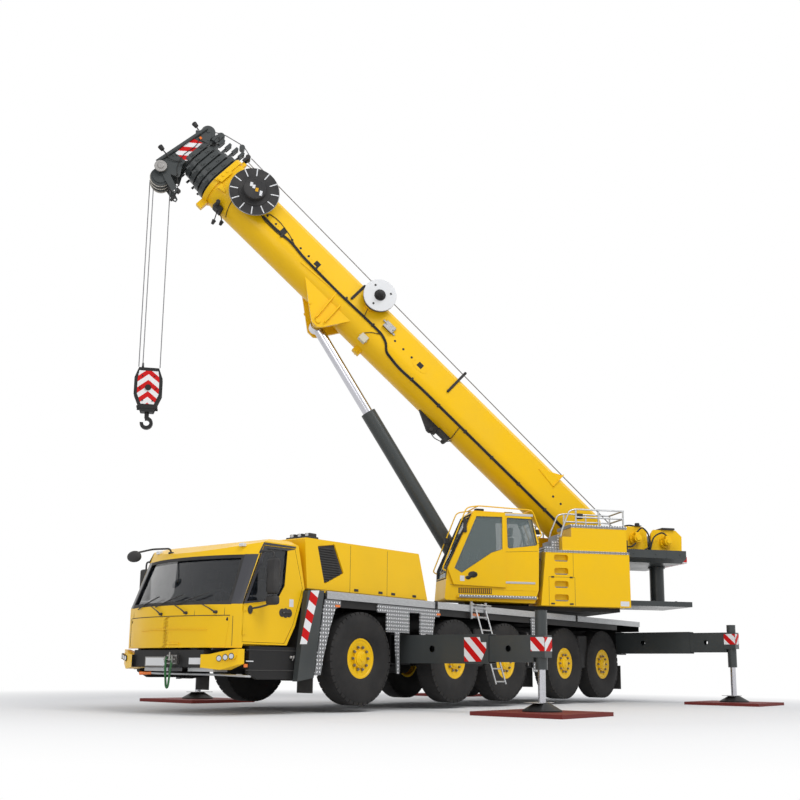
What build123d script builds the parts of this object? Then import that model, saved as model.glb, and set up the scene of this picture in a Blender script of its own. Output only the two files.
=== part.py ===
from build123d import *
import os
from math import atan2, cos, degrees, hypot, pi, radians, sin

# Five-axle telescopic mobile crane, standing on its four outriggers. Millimetres.
# Carrier frame: x forward from axle 1, y left, z up from the ground under the mats.

# ---------- driving dimensions ----------
MIDDLE_X = -3769  # middle of the whole machine's box, seen from axle 1
MIDDLE_Y = -235.6

HUB_Z = 822
TYRE_R = 720
TYRE_WIDTH = 385
BEAD_R = 312
WHEEL_Y = 1175
KINGPIN_Y = 1000
FRAME_HALF = 420
BODY_HALF = 1330
DECK_TOP = 1790

SLEW_X = -6050
SLEW_ANGLE = -39.1
PIVOT_X = -1680  # boom foot pin, from the slew axis
PIVOT_Z = 3150
LUFF_ANGLE = 42.3
JACK_FOOT_X = 560  # luffing cylinder's foot pin
JACK_FOOT_Z = 2350
ROD_EYE_L = 7480  # luffing cylinder's head pin, along and across the boom
ROD_EYE_H = -360

BOOM_HALF = 430
BOOM_TOP = 938
BOOM_ROUND_H = 351  # centre of the rounded lower half
BOOM_FRONT = 11130
SECTION_STEP = 35  # each section is this much smaller all round
COLLAR = 150
COLLAR_GAP = 10
WALL = 10

BEAM_Y = 3784  # outrigger jack, from the middle
MAT_SIZE = 1560
MAT_THICK = 60
HOOK_DROP = 4600  # from the head sheave down to the block's sheave

# axle number: x, steered
AXLES = {1: (0, True), 2: (-2540, True), 3: (-4190, False), 4: (-6440, False), 5: (-8110, False)}
SIDES = {"left": 1, "right": -1}
# name: jack x left, jack x right, outer beam's z limits, jack tube's z limits
OUTRIGGERS = {"front": (-1338, -1088, 765, 1225, 680, 1570), "rear": (-9268, -9518, 1070, 1540, 780, 1670)}

CARRIER = Plane(origin=(-MIDDLE_X, -MIDDLE_Y, 0))


# ---------- frames ----------
def side(frame, y=0):
    """Plane whose sketch x, y are the frame's x, z; it grows towards -y."""
    return Plane(frame.from_local_coords((0, y, 0)), x_dir=frame.x_dir, z_dir=-frame.y_dir)


def front(frame, x=0):
    """Plane whose sketch x, y are the frame's y, z; it grows towards +x."""
    return Plane(frame.from_local_coords((x, 0, 0)), x_dir=frame.y_dir, z_dir=frame.x_dir)


def turned(frame, x, y, angle):
    """The frame moved to x, y and turned about its z axis."""
    heading = frame.x_dir * cos(radians(angle)) + frame.y_dir * sin(radians(angle))
    return Plane(frame.from_local_coords((x, y, 0)), x_dir=heading, z_dir=frame.z_dir)


def raised(frame, x, z, angle):
    """The frame moved to x, z and tipped until its x axis points up by the angle."""
    along = frame.x_dir * cos(radians(angle)) + frame.z_dir * sin(radians(angle))
    across = frame.z_dir * cos(radians(angle)) - frame.x_dir * sin(radians(angle))
    return Plane(frame.from_local_coords((x, 0, z)), x_dir=along, z_dir=across)


UPPER = turned(CARRIER, SLEW_X, 0, SLEW_ANGLE)
BOOM = raised(UPPER, PIVOT_X, PIVOT_Z, LUFF_ANGLE)
EYE = UPPER.to_local_coords(BOOM.from_local_coords((ROD_EYE_L, 0, ROD_EYE_H)))
CYLINDER_LENGTH = hypot(EYE.X - JACK_FOOT_X, EYE.Z - JACK_FOOT_Z)
CYLINDER_ANGLE = degrees(atan2(EYE.Z - JACK_FOOT_Z, EYE.X - JACK_FOOT_X))
CYLINDER = raised(UPPER, JACK_FOOT_X, JACK_FOOT_Z, CYLINDER_ANGLE)


# ---------- shapes that several sub-parts share ----------
def block(frame, x, y, z, mode=Mode.ADD):
    """Box between three pairs of limits."""
    with BuildSketch(frame.offset(z[0])) as base:
        with Locations(((x[0] + x[1]) / 2, (y[0] + y[1]) / 2)):
            Rectangle(x[1] - x[0], y[1] - y[0])
    extrude(base.sketch, amount=z[1] - z[0], mode=mode)


def plate(plane, points, thickness, mode=Mode.ADD, corner=0):
    """Straight-edged plate on a plane, its corners rounded if asked."""
    with BuildSketch(plane) as outline:
        with BuildLine():
            Polyline(*points, close=True)
        make_face()
        if corner:
            fillet(outline.vertices(), corner)
    extrude(outline.sketch, amount=thickness, mode=mode)


def bar(plane, centre, radius, length, mode=Mode.ADD):
    """Round bar that starts on a plane."""
    with BuildSketch(plane) as end:
        with Locations(centre):
            Circle(radius)
    extrude(end.sketch, amount=length, mode=mode)


def cross_bar(frame, centre, radius, y, mode=Mode.ADD):
    """Round bar along the frame's y axis between two limits."""
    bar(side(frame, y[1]), centre, radius, y[1] - y[0], mode)


def hand_over(piece, label):
    """Name a finished piece and write its STEP file."""
    piece.part.label = label
    export_step(piece.part, f"parts/{label}.step")


# ---------- wheels and axles ----------
def wheel_frame(x, sign):
    """Hub centre of a wheel, its y axis pointing outboard."""
    hub = CARRIER.from_local_coords((x, sign * WHEEL_Y, HUB_Z))
    return Plane(hub, x_dir=(-sign, 0, 0), z_dir=(0, sign, 0))


def tyre(plane):
    """Wide single tyre: tread, bulging walls and bead."""
    half = TYRE_WIDTH / 2
    with BuildPart() as piece:
        with BuildSketch(Plane(plane.origin, x_dir=plane.x_dir, z_dir=-plane.y_dir)) as section:
            with BuildLine():
                Polyline((BEAD_R, -half + 45), (BEAD_R, half - 45), (BEAD_R + 28, half - 30))
                ThreePointArc((BEAD_R + 28, half - 30), (530, half), (TYRE_R - 55, half - 22))
                Polyline((TYRE_R - 55, half - 22), (TYRE_R - 8, half - 52), (TYRE_R, half - 85),
                         (TYRE_R, -half + 85), (TYRE_R - 8, -half + 52), (TYRE_R - 55, -half + 22))
                ThreePointArc((TYRE_R - 55, -half + 22), (530, -half), (BEAD_R + 28, -half + 30))
                Line((BEAD_R + 28, -half + 30), (BEAD_R, -half + 45))
            make_face()
        revolve(section.sketch, axis=Axis(plane.origin, plane.z_dir))
    return piece


RIM_SECTION = [(60, -40), (150, -40), (150, 95), (215, 110), (262, 128), (270, 30), (270, -150), (311, -150),
               (311, 150), (285, 150), (275, 140), (240, 138), (205, 128), (150, 118), (140, 150), (60, 150)]


def rim(plane):
    """Dished disc wheel with ten nuts round its hub."""
    with BuildPart() as piece:
        with BuildSketch(Plane(plane.origin, x_dir=plane.x_dir, z_dir=-plane.y_dir)) as section:
            with BuildLine():
                Polyline(*RIM_SECTION, close=True)
            make_face()
        revolve(section.sketch, axis=Axis(plane.origin, plane.z_dir))
        with BuildSketch(plane.offset(115)) as nuts:
            with PolarLocations(178, 10):
                Circle(14)
        extrude(nuts.sketch, amount=25)
    return piece


def hub_of_axle(frame, sign):
    """Brake drum and spindle that carry one wheel, on a frame at the hub with y outboard."""
    bar(frame.offset(-130), (0, 0), 130, 85)
    bar(frame.offset(-45), (0, 0), 59, 190)


def knuckle(x, sign):
    """Steering knuckle: kingpin barrel, drum and spindle."""
    hub = wheel_frame(x, sign)
    with BuildPart() as piece:
        hub_of_axle(hub, sign)
        bar(CARRIER.offset(HUB_Z - 115), (x, sign * KINGPIN_Y), 62, 230)
        bar(CARRIER.offset(HUB_Z - 160), (x, sign * KINGPIN_Y), 29, 320)
    return piece


def axle_beams():
    """Five beam axles, forked for the kingpins where they steer."""
    with BuildPart() as piece:
        for x, steered in AXLES.values():
            block(CARRIER, (x - 85, x + 85), (-870, 870), (HUB_Z - 85, HUB_Z + 85))
            bar(side(CARRIER, 190), (x, HUB_Z), 225, 380)
            for sign in SIDES.values():
                block(CARRIER, (x - 55, x + 55), sorted((sign * 560, sign * 680)), (HUB_Z + 60, HUB_Z + 258))
                if steered:
                    for z in (HUB_Z - 165, HUB_Z + 122):
                        block(CARRIER, (x - 38, x + 38), sorted((sign * 800, sign * KINGPIN_Y)), (z, z + 43))
                        bar(CARRIER.offset(z), (x, sign * KINGPIN_Y), 40, 43)
                    block(CARRIER, (x - 60, x + 60), sorted((sign * 800, sign * 870)), (HUB_Z - 165, HUB_Z + 165))
                    bar(CARRIER.offset(HUB_Z - 170), (x, sign * KINGPIN_Y), 30, 340, Mode.SUBTRACT)
                else:
                    hub_of_axle(wheel_frame(x, sign), sign)
                    bar(wheel_frame(x, sign).offset(-310), (0, 0), 80, 190)
    return piece


# ---------- carrier ----------
def channel_limits(name):
    """x limits and z limits of both beam channels of one outrigger box."""
    left, right, low, top = OUTRIGGERS[name][:4]
    return [(x - 121, x + 121) for x in (left, right)], (low - 8, top + 8)


def carrier_frame():
    """Box girder with deck, outrigger boxes, slew pedestal and front columns."""
    with BuildPart() as piece:
        block(CARRIER, (-9950, 1150), (-FRAME_HALF, FRAME_HALF), (1080, 1560))
        block(CARRIER, (850, 2350), (-FRAME_HALF, FRAME_HALF), (640, 900))
        block(CARRIER, (850, 1150), (-FRAME_HALF, FRAME_HALF), (640, 1560))
        block(CARRIER, (-10000, 850), (-BODY_HALF, BODY_HALF), (DECK_TOP - 30, DECK_TOP))
        for sign in SIDES.values():
            skirt = sorted((sign * (BODY_HALF - 30), sign * BODY_HALF))
            block(CARRIER, (-8840, 850), skirt, (1585, DECK_TOP - 30))
        for x in (-9970, -8840, -7270, -5300, -3360, -1650, -760, 830):
            block(CARRIER, (x - 10, x + 10), (-BODY_HALF, BODY_HALF), (1585, DECK_TOP - 30))
        block(CARRIER, (-10000, 1150), (-300, 300), (1560, DECK_TOP - 30))
        bar(CARRIER.offset(1560), (SLEW_X, 0), 760, 235)
        for name in OUTRIGGERS:
            channels, z = channel_limits(name)
            x = [limit for pair in channels for limit in pair]
            block(CARRIER, (min(x) - 12, max(x) + 12), (-1150, 1150), (z[0] - 12, z[1] + 12))
        block(CARRIER, (-9700, -9100), (-FRAME_HALF, FRAME_HALF), (900, 1100))
        for sign in SIDES.values():
            outer = max(sign * 1262, sign * 1358)
            plate(side(CARRIER, outer), [(1255, 1800), (902, 1815), (1087, 523), (1432, 472)], 96)
            inner = max(sign * 1000, sign * 1262)
            plate(side(CARRIER, inner), [(1180, 1800), (902, 1815), (1087, 523), (1400, 480)], 262)
            block(CARRIER, (910, 1170), sorted((sign * 300, sign * 1010)), (1600, 1700))
            skirt = max(sign * 1180, sign * 1246)
            plate(side(CARRIER, skirt), [(2285, 960), (2285, 590), (2100, 500), (1290, 500), (1290, 960)], 66)
        block(CARRIER, (-10290, -9990), (-90, 90), (1180, 1400))
        bar(CARRIER.offset(1180), (-10235, 0), 25, 220, Mode.SUBTRACT)
        block(CARRIER, (-10300, -10180), (-50, 50), (1245, 1335), Mode.SUBTRACT)
        for name in OUTRIGGERS:
            channels, z = channel_limits(name)
            for x in channels:
                block(CARRIER, x, (-1400, 1400), z, Mode.SUBTRACT)
    return piece


def side_panels():
    """Aluminium deck rails and chequer-plate panels between the wheels."""
    with BuildPart() as piece:
        for sign in SIDES.values():
            block(CARRIER, (-9950, 850), sorted((sign * BODY_HALF, sign * 1372)), (1700, 1816))
            y = max(sign * 1332, sign * 1356)
            strip = side(CARRIER, y)
            plate(strip, [(876, 1690), (520, 1690), (520, 1600), (640, 1560), (760, 1250), (890, 800), (935, 568),
                          (1070, 558)], 24)
            top = OUTRIGGERS["front"][3]
            plate(strip, [(-370, 1690), (-2040, 1690), (-2040, 1560), (-1900, 1560), (-1850, top + 30), (-600, top + 30),
                          (-600, 1560), (-370, 1560)], 24)
            plate(strip, [(-940, top + 30), (-820, top + 30), (-880, 590), (-940, 590)], 24)
            plate(strip, [(-1500, top + 30), (-1640, top + 30), (-1640, 590), (-1500, 590)], 24)
            plate(strip, [(-5080, 1690), (-5540, 1690), (-5440, 640), (-5180, 640)], 24)
            jack_x = OUTRIGGERS["front"][0 if sign > 0 else 1]
            edge = sorted((sign * 1320, sign * 1370))
            block(CARRIER, (jack_x - 150, jack_x + 150), edge, (top + 20, 1600), Mode.SUBTRACT)
            block(CARRIER, (jack_x - 325, jack_x + 325), edge, (400, 860), Mode.SUBTRACT)
            ladder(sign)
    return piece


def ladder(sign):
    """Boarding ladder hung on the deck rail."""
    y = sorted((sign * 1372, sign * 1402))
    for x in (-3420, -2960):
        block(CARRIER, (x - 20, x + 20), y, (1570, 1880))
    for z in (1590, 1760):
        block(CARRIER, (-3420, -2960), y, (z, z + 35))


VENT = [(960, 2500), (580, 2560), (350, 2130), (790, 1930)]


def engine_housing():
    """Engine housing in two halves beside the channel for the lowered boom, with side vents."""
    with BuildPart() as piece:
        plate(side(CARRIER, 1250), [(1160, DECK_TOP), (1240, 2600), (-1570, 2620), (-1840, DECK_TOP)], 2500, corner=25)
        block(CARRIER, (-2000, 1400), (-480, 480), (2250, 2700), Mode.SUBTRACT)
        block(CARRIER, (850, 1300), (-1260, 1260), (DECK_TOP - 10, 1830), Mode.SUBTRACT)
        for y in (1260, -1225):
            plate(side(CARRIER, y), VENT, 35, Mode.SUBTRACT, 20)
    return piece


CAB_HALF = 1250
CAB_LEVELS = [(900, 0), (1520, 0), (2600, -450)]
DOOR = [(1605, 1010), (2430, 1010), (2430, 1530), (2075, 2390), (1440, 2400), (1262, 1830), (1440, 1290)]
DOOR_WINDOW = [(1640, 1840), (1740, 1690), (1785, 1645), (2370, 1575), (2020, 2350), (1600, 2360)]
WINDSCREEN = [(-1090, 1555), (1090, 1555), (1035, 2250), (-1035, 2250)]


def cab_plan(z, shift, inset):
    """Level outline of the cab: straight sides and rear, bowed front."""
    half = CAB_HALF - inset
    corner = 2460 - inset + shift
    with BuildSketch(CARRIER.offset(z)) as plan:
        with BuildLine():
            Polyline((corner, half), (1000, half), (1000, -half), (corner, -half))
            ThreePointArc((corner, -half), (2760 - inset + shift, 0), (corner, half))
        make_face()
    return plan.sketch.faces()[0]


def cab_form(inset):
    """Cab volume, moved inwards: its bowed front leans back above the windscreen's foot."""
    with BuildPart(mode=Mode.PRIVATE) as form:
        for (low, low_shift), (high, high_shift) in zip(CAB_LEVELS, CAB_LEVELS[1:]):
            loft([cab_plan(low, low_shift, inset), cab_plan(high, high_shift, inset)], ruled=True)
        profile = [(1560 + inset, 985 + inset), (2410, 985 + inset), (2430, 930 + inset), (2900, 930 + inset),
                   (2900, 2170 - inset), (2240, 2392 - inset), (1850, 2515 - inset), (1390 + inset, 2540 - inset),
                   (1215 + inset, 1825), (1400 + inset, 1265)]
        plate(side(CARRIER, CAB_HALF + 20), profile, 2 * CAB_HALF + 40, Mode.INTERSECT)
        half = CAB_HALF + 5 - inset
        hips = [(-half, 800), (half, 800), (half, 2452 - inset), (1080 - inset, 2530 - inset), (700, 2570 - inset),
                (-700, 2570 - inset), (inset - 1080, 2530 - inset), (-half, 2452 - inset)]
        plate(front(CARRIER, 900), hips, 2100, Mode.INTERSECT)
    return form.part


def carrier_cab():
    """Hollow driver's cab with windscreen and door openings."""
    with BuildPart() as piece:
        add(cab_form(0))
        add(cab_form(60), mode=Mode.SUBTRACT)
        plate(front(CARRIER, 2050), WINDSCREEN, 800, Mode.SUBTRACT, 60)
        plate(side(CARRIER, 1400), DOOR, 2800, Mode.SUBTRACT)
    return piece


def cab_door(sign):
    """Cab door with its window and two hinge barrels."""
    with BuildPart() as piece:
        with BuildSketch(side(CARRIER, max(sign * 1196, sign * CAB_HALF))) as leaf:
            with BuildLine():
                Polyline(*DOOR, close=True)
            make_face()
            offset(amount=-6, kind=Kind.INTERSECTION)
            with BuildLine():
                Polyline(*DOOR_WINDOW, close=True)
            make_face(mode=Mode.SUBTRACT)
        extrude(leaf.sketch, amount=CAB_HALF - 1196)
        for z in (1120, 1450):
            block(CARRIER, (2370, 2427), sorted((sign * 1245, sign * 1266)), (z, z + 50))
            bar(CARRIER.offset(z - 15), (2427, sign * 1262), 8, 80)
    return piece


POD_FRONT = [(770, 655), (770, 835), (900, 840), (1250, 918), (1330, 912), (1330, 720), (1050, 628)]
POD_PLAN = [(2430, 770), (2745, 770), (2640, 1050), (2510, 1270), (2460, 1310), (2430, 1310)]


def front_bumper():
    """Bumper bar with a lamp pod each side."""
    with BuildPart() as piece:
        block(CARRIER, (2352, 2700), (-775, 775), (660, 900))
        for sign in SIDES.values():
            with BuildPart(mode=Mode.PRIVATE) as pod:
                plate(front(CARRIER, 2290), [(sign * y, z) for y, z in POD_FRONT], 480)
                plate(CARRIER.offset(600), [(x, sign * y) for x, y in POD_PLAN], 350, Mode.INTERSECT)
            add(pod.part)
            for x, y, z in ((2643, 1040, 783), (2610, 1130, 798), (2578, 1216, 814)):
                lamp = turned(CARRIER, x - 40, sign * y, sign * 20)
                bar(front(lamp), (0, z), 44, 50)
    return piece


def outrigger_mats():
    """Four square timber mats under the floats."""
    with BuildPart() as piece:
        half = MAT_SIZE / 2
        for places in OUTRIGGERS.values():
            for x, y in ((places[0], BEAM_Y), (places[1], -BEAM_Y)):
                block(CARRIER, (x - half, x + half), (y - half, y + half), (0, MAT_THICK))
    return piece


# ---------- outriggers ----------
def outrigger_frame(name, side_name):
    """Frame under the jack with its y axis outboard."""
    sign = SIDES[side_name]
    x = OUTRIGGERS[name][0] if sign > 0 else OUTRIGGERS[name][1]
    return Plane(CARRIER.from_local_coords((x, 0, 0)), x_dir=(sign, 0, 0), z_dir=(0, 0, 1))


def outer_beam(name, side_name):
    """Outer outrigger beam: a rectangular tube with round holes."""
    frame = outrigger_frame(name, side_name)
    low, top = OUTRIGGERS[name][2:4]
    with BuildPart() as piece:
        block(frame, (-113, 113), (435, 2900), (low, top))
        block(frame, (-103, 103), (425, 2910), (low + 10, top - 10), Mode.SUBTRACT)
        bar(front(frame, -120), (1800, (low + top) / 2), 55, 240, Mode.SUBTRACT)
    return piece


def inner_beam(name, side_name):
    """Inner outrigger beam with the jack tube at its end."""
    frame = outrigger_frame(name, side_name)
    low, top, tube_low, tube_top = OUTRIGGERS[name][2:]
    with BuildPart() as piece:
        block(frame, (-95, 95), (2100, 3700), (low + 25, top - 25))
        block(frame, (-83, 83), (2090, 3600), (low + 37, top - 37), Mode.SUBTRACT)
        block(frame, (-105, 105), (3660, 3905), (low + 95, top - 30))
        bar(frame.offset(tube_low), (0, BEAM_Y), 92, tube_top - tube_low)
        bar(frame.offset(tube_low - 1), (0, BEAM_Y), 66, tube_top - tube_low - 20, Mode.SUBTRACT)
        bar(front(frame, -120), (3250, (low + top) / 2), 50, 240, Mode.SUBTRACT)
    return piece


def jack(name, side_name):
    """Jack rod with its conical float."""
    frame = outrigger_frame(name, side_name)
    rod_low = MAT_THICK + 80
    with BuildPart() as piece:
        bar(frame.offset(rod_low), (0, BEAM_Y), 58, OUTRIGGERS[name][4] + 240 - rod_low)
        with BuildSketch(front(frame, 0)) as cone:
            with BuildLine():
                Polyline((BEAM_Y, MAT_THICK + 1), (BEAM_Y + 300, MAT_THICK + 1), (BEAM_Y + 300, MAT_THICK + 21),
                         (BEAM_Y + 110, MAT_THICK + 130), (BEAM_Y, MAT_THICK + 130), close=True)
            make_face()
        revolve(cone.sketch, axis=Axis(frame.from_local_coords((0, BEAM_Y, 0)), (0, 0, 1)))
    return piece


# ---------- superstructure ----------
def slew_platform():
    """Slewing platform with mast plates, boom foot pin and luffing cylinder lugs."""
    with BuildPart() as piece:
        bar(UPPER.offset(1800), (0, 0), 690, 90)
        block(UPPER, (-2300, 1450), (-1000, 1000), (1880, 1962))
        block(UPPER, (-2300, 900), (-440, 440), (1962, 2020))
        for sign in SIDES.values():
            start = max(sign * 480, sign * 520)
            plate(side(UPPER, start), [(-2300, 1900), (-2300, 3200), (-1950, 3400), (-1480, 3400), (-700, 2300), (-450, 1962),
                                       (-450, 1900)], 40)
            lug = max(sign * 205, sign * 265)
            plate(side(UPPER, lug), [(250, 2000), (430, 2480), (690, 2480), (870, 2000)], 60)
            pin = sorted((sign * 198, sign * 290))
            cross_bar(UPPER, (JACK_FOOT_X, JACK_FOOT_Z), 100, pin)
        cross_bar(UPPER, (PIVOT_X, PIVOT_Z), 99, (-560, 560))
        block(UPPER, (300, 1500), (-200, 200), (1790, 2100), Mode.SUBTRACT)
    return piece


def upper_housing():
    """Machinery housings on both sides of the boom, with step pockets and top edges."""
    with BuildPart() as piece:
        for sign in SIDES.values():
            start = max(sign * 560, sign * 1320)
            low = [(-450, 1962), (-560, 3070), (-2390, 3070), (-2400, 1962)]
            plate(side(UPPER, start), low, 760)
            high = [(-920, 3060), (-920, 3380), (-1120, 3380), (-1120, 3600), (-2340, 3580), (-2340, 3060)]
            plate(side(UPPER, start), high, 760)
            for x in (-1240, -1740, -2290):
                bar(UPPER.offset(3560), (x, sign * 1290), 18, 400)
            block(UPPER, (-2308, -1222), sorted((sign * 1275, sign * 1305)), (3950, 3980))
        for z in (2056, 2328, 2594, 2865):
            pocket = [(-1040, z), (-740, z), (-740, z + 138), (-1040, z + 138)]
            for y in (1330, -1240):
                plate(side(UPPER, y), pocket, 90, Mode.SUBTRACT, 45)
    return piece


def counterweight():
    """Upper slab on its column, base plate, hanger and twin winches."""
    with BuildPart() as piece:
        slab = [(-1070, 3040), (-1070, 3210), (1070, 3210), (1070, 3040), (860, 2960), (-860, 2960)]
        plate(front(UPPER, -3820), slab, 1415)
        block(UPPER, (-4000, -3820), (-760, 760), (2985, 3120))
        for sign in SIDES.values():
            block(UPPER, (-2405, -2300), sorted((sign * 440, sign * 520)), (3000, 3210))
        block(UPPER, (-4130, -2440), (-680, 680), (2050, 2160))
        block(UPPER, (-2510, -2440), (-980, 980), (2050, 3000))
        bar(UPPER.offset(2160), (-3660, 0), 155, 850)
        for sign in SIDES.values():
            cheek = max(sign * 700, sign * 750)
            plate(side(UPPER, cheek), [(-3100, 3200), (-3080, 3640), (-3000, 3740), (-2540, 3740), (-2430, 3600),
                                       (-2430, 3200)], 50, corner=20)
            plate(side(UPPER, cheek), [(-3890, 3200), (-3900, 3560), (-3760, 3690), (-3240, 3690), (-3180, 3600),
                                       (-3180, 3200)], 50, corner=20)
            for x, z in ((-2800, 3470), (-3500, 3420)):
                cross_bar(UPPER, (x, z), 130, sorted((sign * 740, sign * 800)))
                cross_bar(UPPER, (x, z), 85, sorted((sign * 790, sign * 930)))
        for x, z in ((-2800, 3470), (-3500, 3440)):
            cross_bar(UPPER, (x, z), 200, (-710, 710))
            for y in (-640, 600):
                cross_bar(UPPER, (x, z), 235, (y, y + 40))
    return piece


CRANE_CAB = [(-330, 2000), (1560, 2030), (1510, 2650), (970, 3840), (-240, 3820), (-430, 3220), (-410, 2280)]
CRANE_DOOR = [(330, 2330), (1365, 2360), (1475, 2650), (955, 3780), (330, 3780)]
CRANE_DOOR_WINDOW = [(370, 3070), (600, 2990), (1220, 2570), (1370, 2660), (910, 3720), (370, 3725)]
CRANE_REAR_WINDOW = [(240, 3090), (-395, 3180), (-280, 3715), (260, 3725)]


def shifted(points, inward, middle):
    """Points moved towards a middle point by a fixed distance."""
    moved = []
    for x, z in points:
        reach = hypot(x - middle[0], z - middle[1])
        moved.append((x - inward * (x - middle[0]) / reach, z - inward * (z - middle[1]) / reach))
    return moved


def crane_cab():
    """Hollow operator's cab with its windows cut, sill step, hinge tube and door rail."""
    with BuildPart() as piece:
        plate(side(UPPER, 1290), CRANE_CAB, 800, corner=45)
        plate(side(UPPER, 1240), shifted(CRANE_CAB, 70, (500, 2900)), 700, Mode.SUBTRACT)
        plate(side(UPPER, 1400), CRANE_DOOR, 160, Mode.SUBTRACT)
        for y in (1400, 600):
            plate(side(UPPER, y), CRANE_REAR_WINDOW, 160, Mode.SUBTRACT, 40)
        plate(front(UPPER, 900), [(560, 2480), (1230, 2480), (1230, 3720), (560, 3720)], 700, Mode.SUBTRACT, 50)
        plate(front(UPPER, -600), [(600, 3150), (1190, 3150), (1190, 3650), (600, 3650)], 400, Mode.SUBTRACT, 40)
        cross_bar(UPPER, (-440, 2900), 25, (520, 1260))
        block(UPPER, (-370, 1310), (1280, 1345), (2080, 2125))
        block(UPPER, (-370, 290), (1285, 1296), (2250, 2310))
    return piece


def crane_cab_door():
    """Operator's sliding door with its window; it laps the opening all round."""
    with BuildPart() as piece:
        with BuildSketch(side(UPPER, 1336)) as leaf:
            with BuildLine():
                Polyline(*CRANE_DOOR, close=True)
            make_face()
            offset(amount=28, kind=Kind.INTERSECTION)
            with BuildLine():
                Polyline(*CRANE_DOOR_WINDOW, close=True)
            make_face(mode=Mode.SUBTRACT)
        extrude(leaf.sketch, amount=36)
    return piece


# ---------- boom ----------
def section_sketch(x, grow):
    """Boom cross-section, grown or shrunk: bevelled flat top above a half-round lower side."""
    half = BOOM_HALF + grow
    top = BOOM_TOP + grow
    with BuildSketch(front(BOOM, x)) as shape:
        with BuildLine():
            Polyline((half, BOOM_ROUND_H), (half, top - 90), (half - 100, top), (100 - half, top), (-half, top - 90),
                     (-half, BOOM_ROUND_H))
            ThreePointArc((-half, BOOM_ROUND_H), (0, BOOM_ROUND_H - half), (half, BOOM_ROUND_H))
        make_face()
    return shape.sketch


LUG = [(6950, 220), (7330, -420), (7400, -480), (7560, -480), (7630, -430), (8460, 220)]


def boom_base():
    """Base section: foot with its pin bore, tube, front collar, cylinder lugs and two cable reels."""
    with BuildPart() as piece:
        extrude(section_sketch(-350, 0), amount=BOOM_FRONT + 350)
        extrude(section_sketch(BOOM_FRONT - 110, 35), amount=110)
        plate(side(BOOM, 600), [(-400, 300), (-400, 1000), (250, 1000)], 1200, Mode.SUBTRACT)
        for sign in SIDES.values():
            cheek = max(sign * 420, sign * 475)
            plate(side(BOOM, cheek), [(-180, -150), (-200, 250), (500, 420), (500, 0), (150, -180)], 55)
            plate(side(BOOM, max(sign * 300, sign * 370)), LUG, 70)
            cross_bar(BOOM, (ROD_EYE_L, ROD_EYE_H), 105, sorted((sign * 156, sign * 310)))
            cross_bar(BOOM, (ROD_EYE_L, ROD_EYE_H), 62, sorted((sign * 360, sign * 392)))
        cross_bar(BOOM, (0, 0), 100, (-600, 600), Mode.SUBTRACT)
        extrude(section_sketch(-360, -WALL), amount=BOOM_FRONT + 400, mode=Mode.SUBTRACT)
        cross_bar(BOOM, (10300, 563), 200, (425, 700))
        cross_bar(BOOM, (10300, 563), 520, (690, 735))
        cross_bar(BOOM, (10300, 563), 235, (735, 860))
        block(BOOM, (6850, 7010), (425, 570), (560, 1010))
        cross_bar(BOOM, (6930, 920), 350, (560, 600))
        cross_bar(BOOM, (6930, 920), 290, (590, 630))
        cross_bar(BOOM, (6930, 920), 350, (620, 650))
    return piece


POSTS = {2: 1199, 3: 1173, 4: 1130, 5: 1095, 6: 1060}


def telescope(number):
    """One telescoping section with its front collar and rope guide; the last one carries the head."""
    shrink = -SECTION_STEP * (number - 1)
    rear = 560 + 120 * (number - 2)
    start = BOOM_FRONT + COLLAR_GAP + (number - 2) * (COLLAR + COLLAR_GAP)
    with BuildPart() as piece:
        extrude(section_sketch(rear, shrink), amount=start - rear + 20)
        extrude(section_sketch(start + 45, shrink + 30), amount=COLLAR - 45)
        extrude(section_sketch(rear - 10, shrink - WALL), amount=start - rear + COLLAR + 20, mode=Mode.SUBTRACT)
        block(BOOM, (start + 70, start + 120), (110, 170), (BOOM_TOP + shrink + 5, POSTS[number]))
        if number == 6:
            boom_head(start + COLLAR)
    return piece


HEAD_L = 12000
HEAD_H = -475
HEAD_SHEAVE_R = 200
HEAD_CHEEK = [(11870, 100), (11850, 800), (11940, 980), (12060, 1090), (12140, 1050), (12180, 900), (12250, -250),
              (12190, -420), (11930, -420), (11860, -60)]
UPPER_LUG = [(11870, 60), (11735, -180), (11745, -230), (11790, -245), (11960, -330), (11960, 0)]
LOWER_LUG = [(11960, -250), (11830, -320), (11530, -435), (11515, -500), (11570, -530), (11830, -480), (11990, -420)]
LUG_HOLES = [(11780, -203), (11564, -480)]


def boom_head(start):
    """Head: side plates with jib lugs, sheave set, top guide roller and guard tubes."""
    for sign in SIDES.values():
        cheek = side(BOOM, max(sign * 205, sign * 235))
        plate(cheek, HEAD_CHEEK, 30)
        plate(cheek, UPPER_LUG, 30)
        plate(cheek, LOWER_LUG, 30)
        for centre in LUG_HOLES:
            bar(cheek, centre, 25, 30, Mode.SUBTRACT)
        foot = Vector(*BOOM.from_local_coords((12256, sign * 262, -312)))
        top = Vector(*BOOM.from_local_coords((12125, sign * 262, 1030)))
        bar(Plane(foot, z_dir=top - foot), (0, 0), 38, (top - foot).length)
    block(BOOM, (start - 40, start + 20), (-235, 235), (160, 780))
    cross_bar(BOOM, (HEAD_L, HEAD_H), 150, (-206, 206))
    for y in (-185, -50, 85):
        cross_bar(BOOM, (HEAD_L, HEAD_H), HEAD_SHEAVE_R, (y, y + 100))
    cross_bar(BOOM, (12116, -339), 105, (-300, 300))
    cross_bar(BOOM, (12060, 1010), 100, (-206, 206))


def luffing_barrel():
    """Luffing cylinder's barrel with its foot eye."""
    with BuildPart() as piece:
        bar(front(CYLINDER, 120), (0, 0), 165, 4290)
        cross_bar(CYLINDER, (0, 0), 160, (-190, 190))
        bar(front(CYLINDER, 300), (0, 0), 118, 4200, Mode.SUBTRACT)
    return piece


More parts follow.
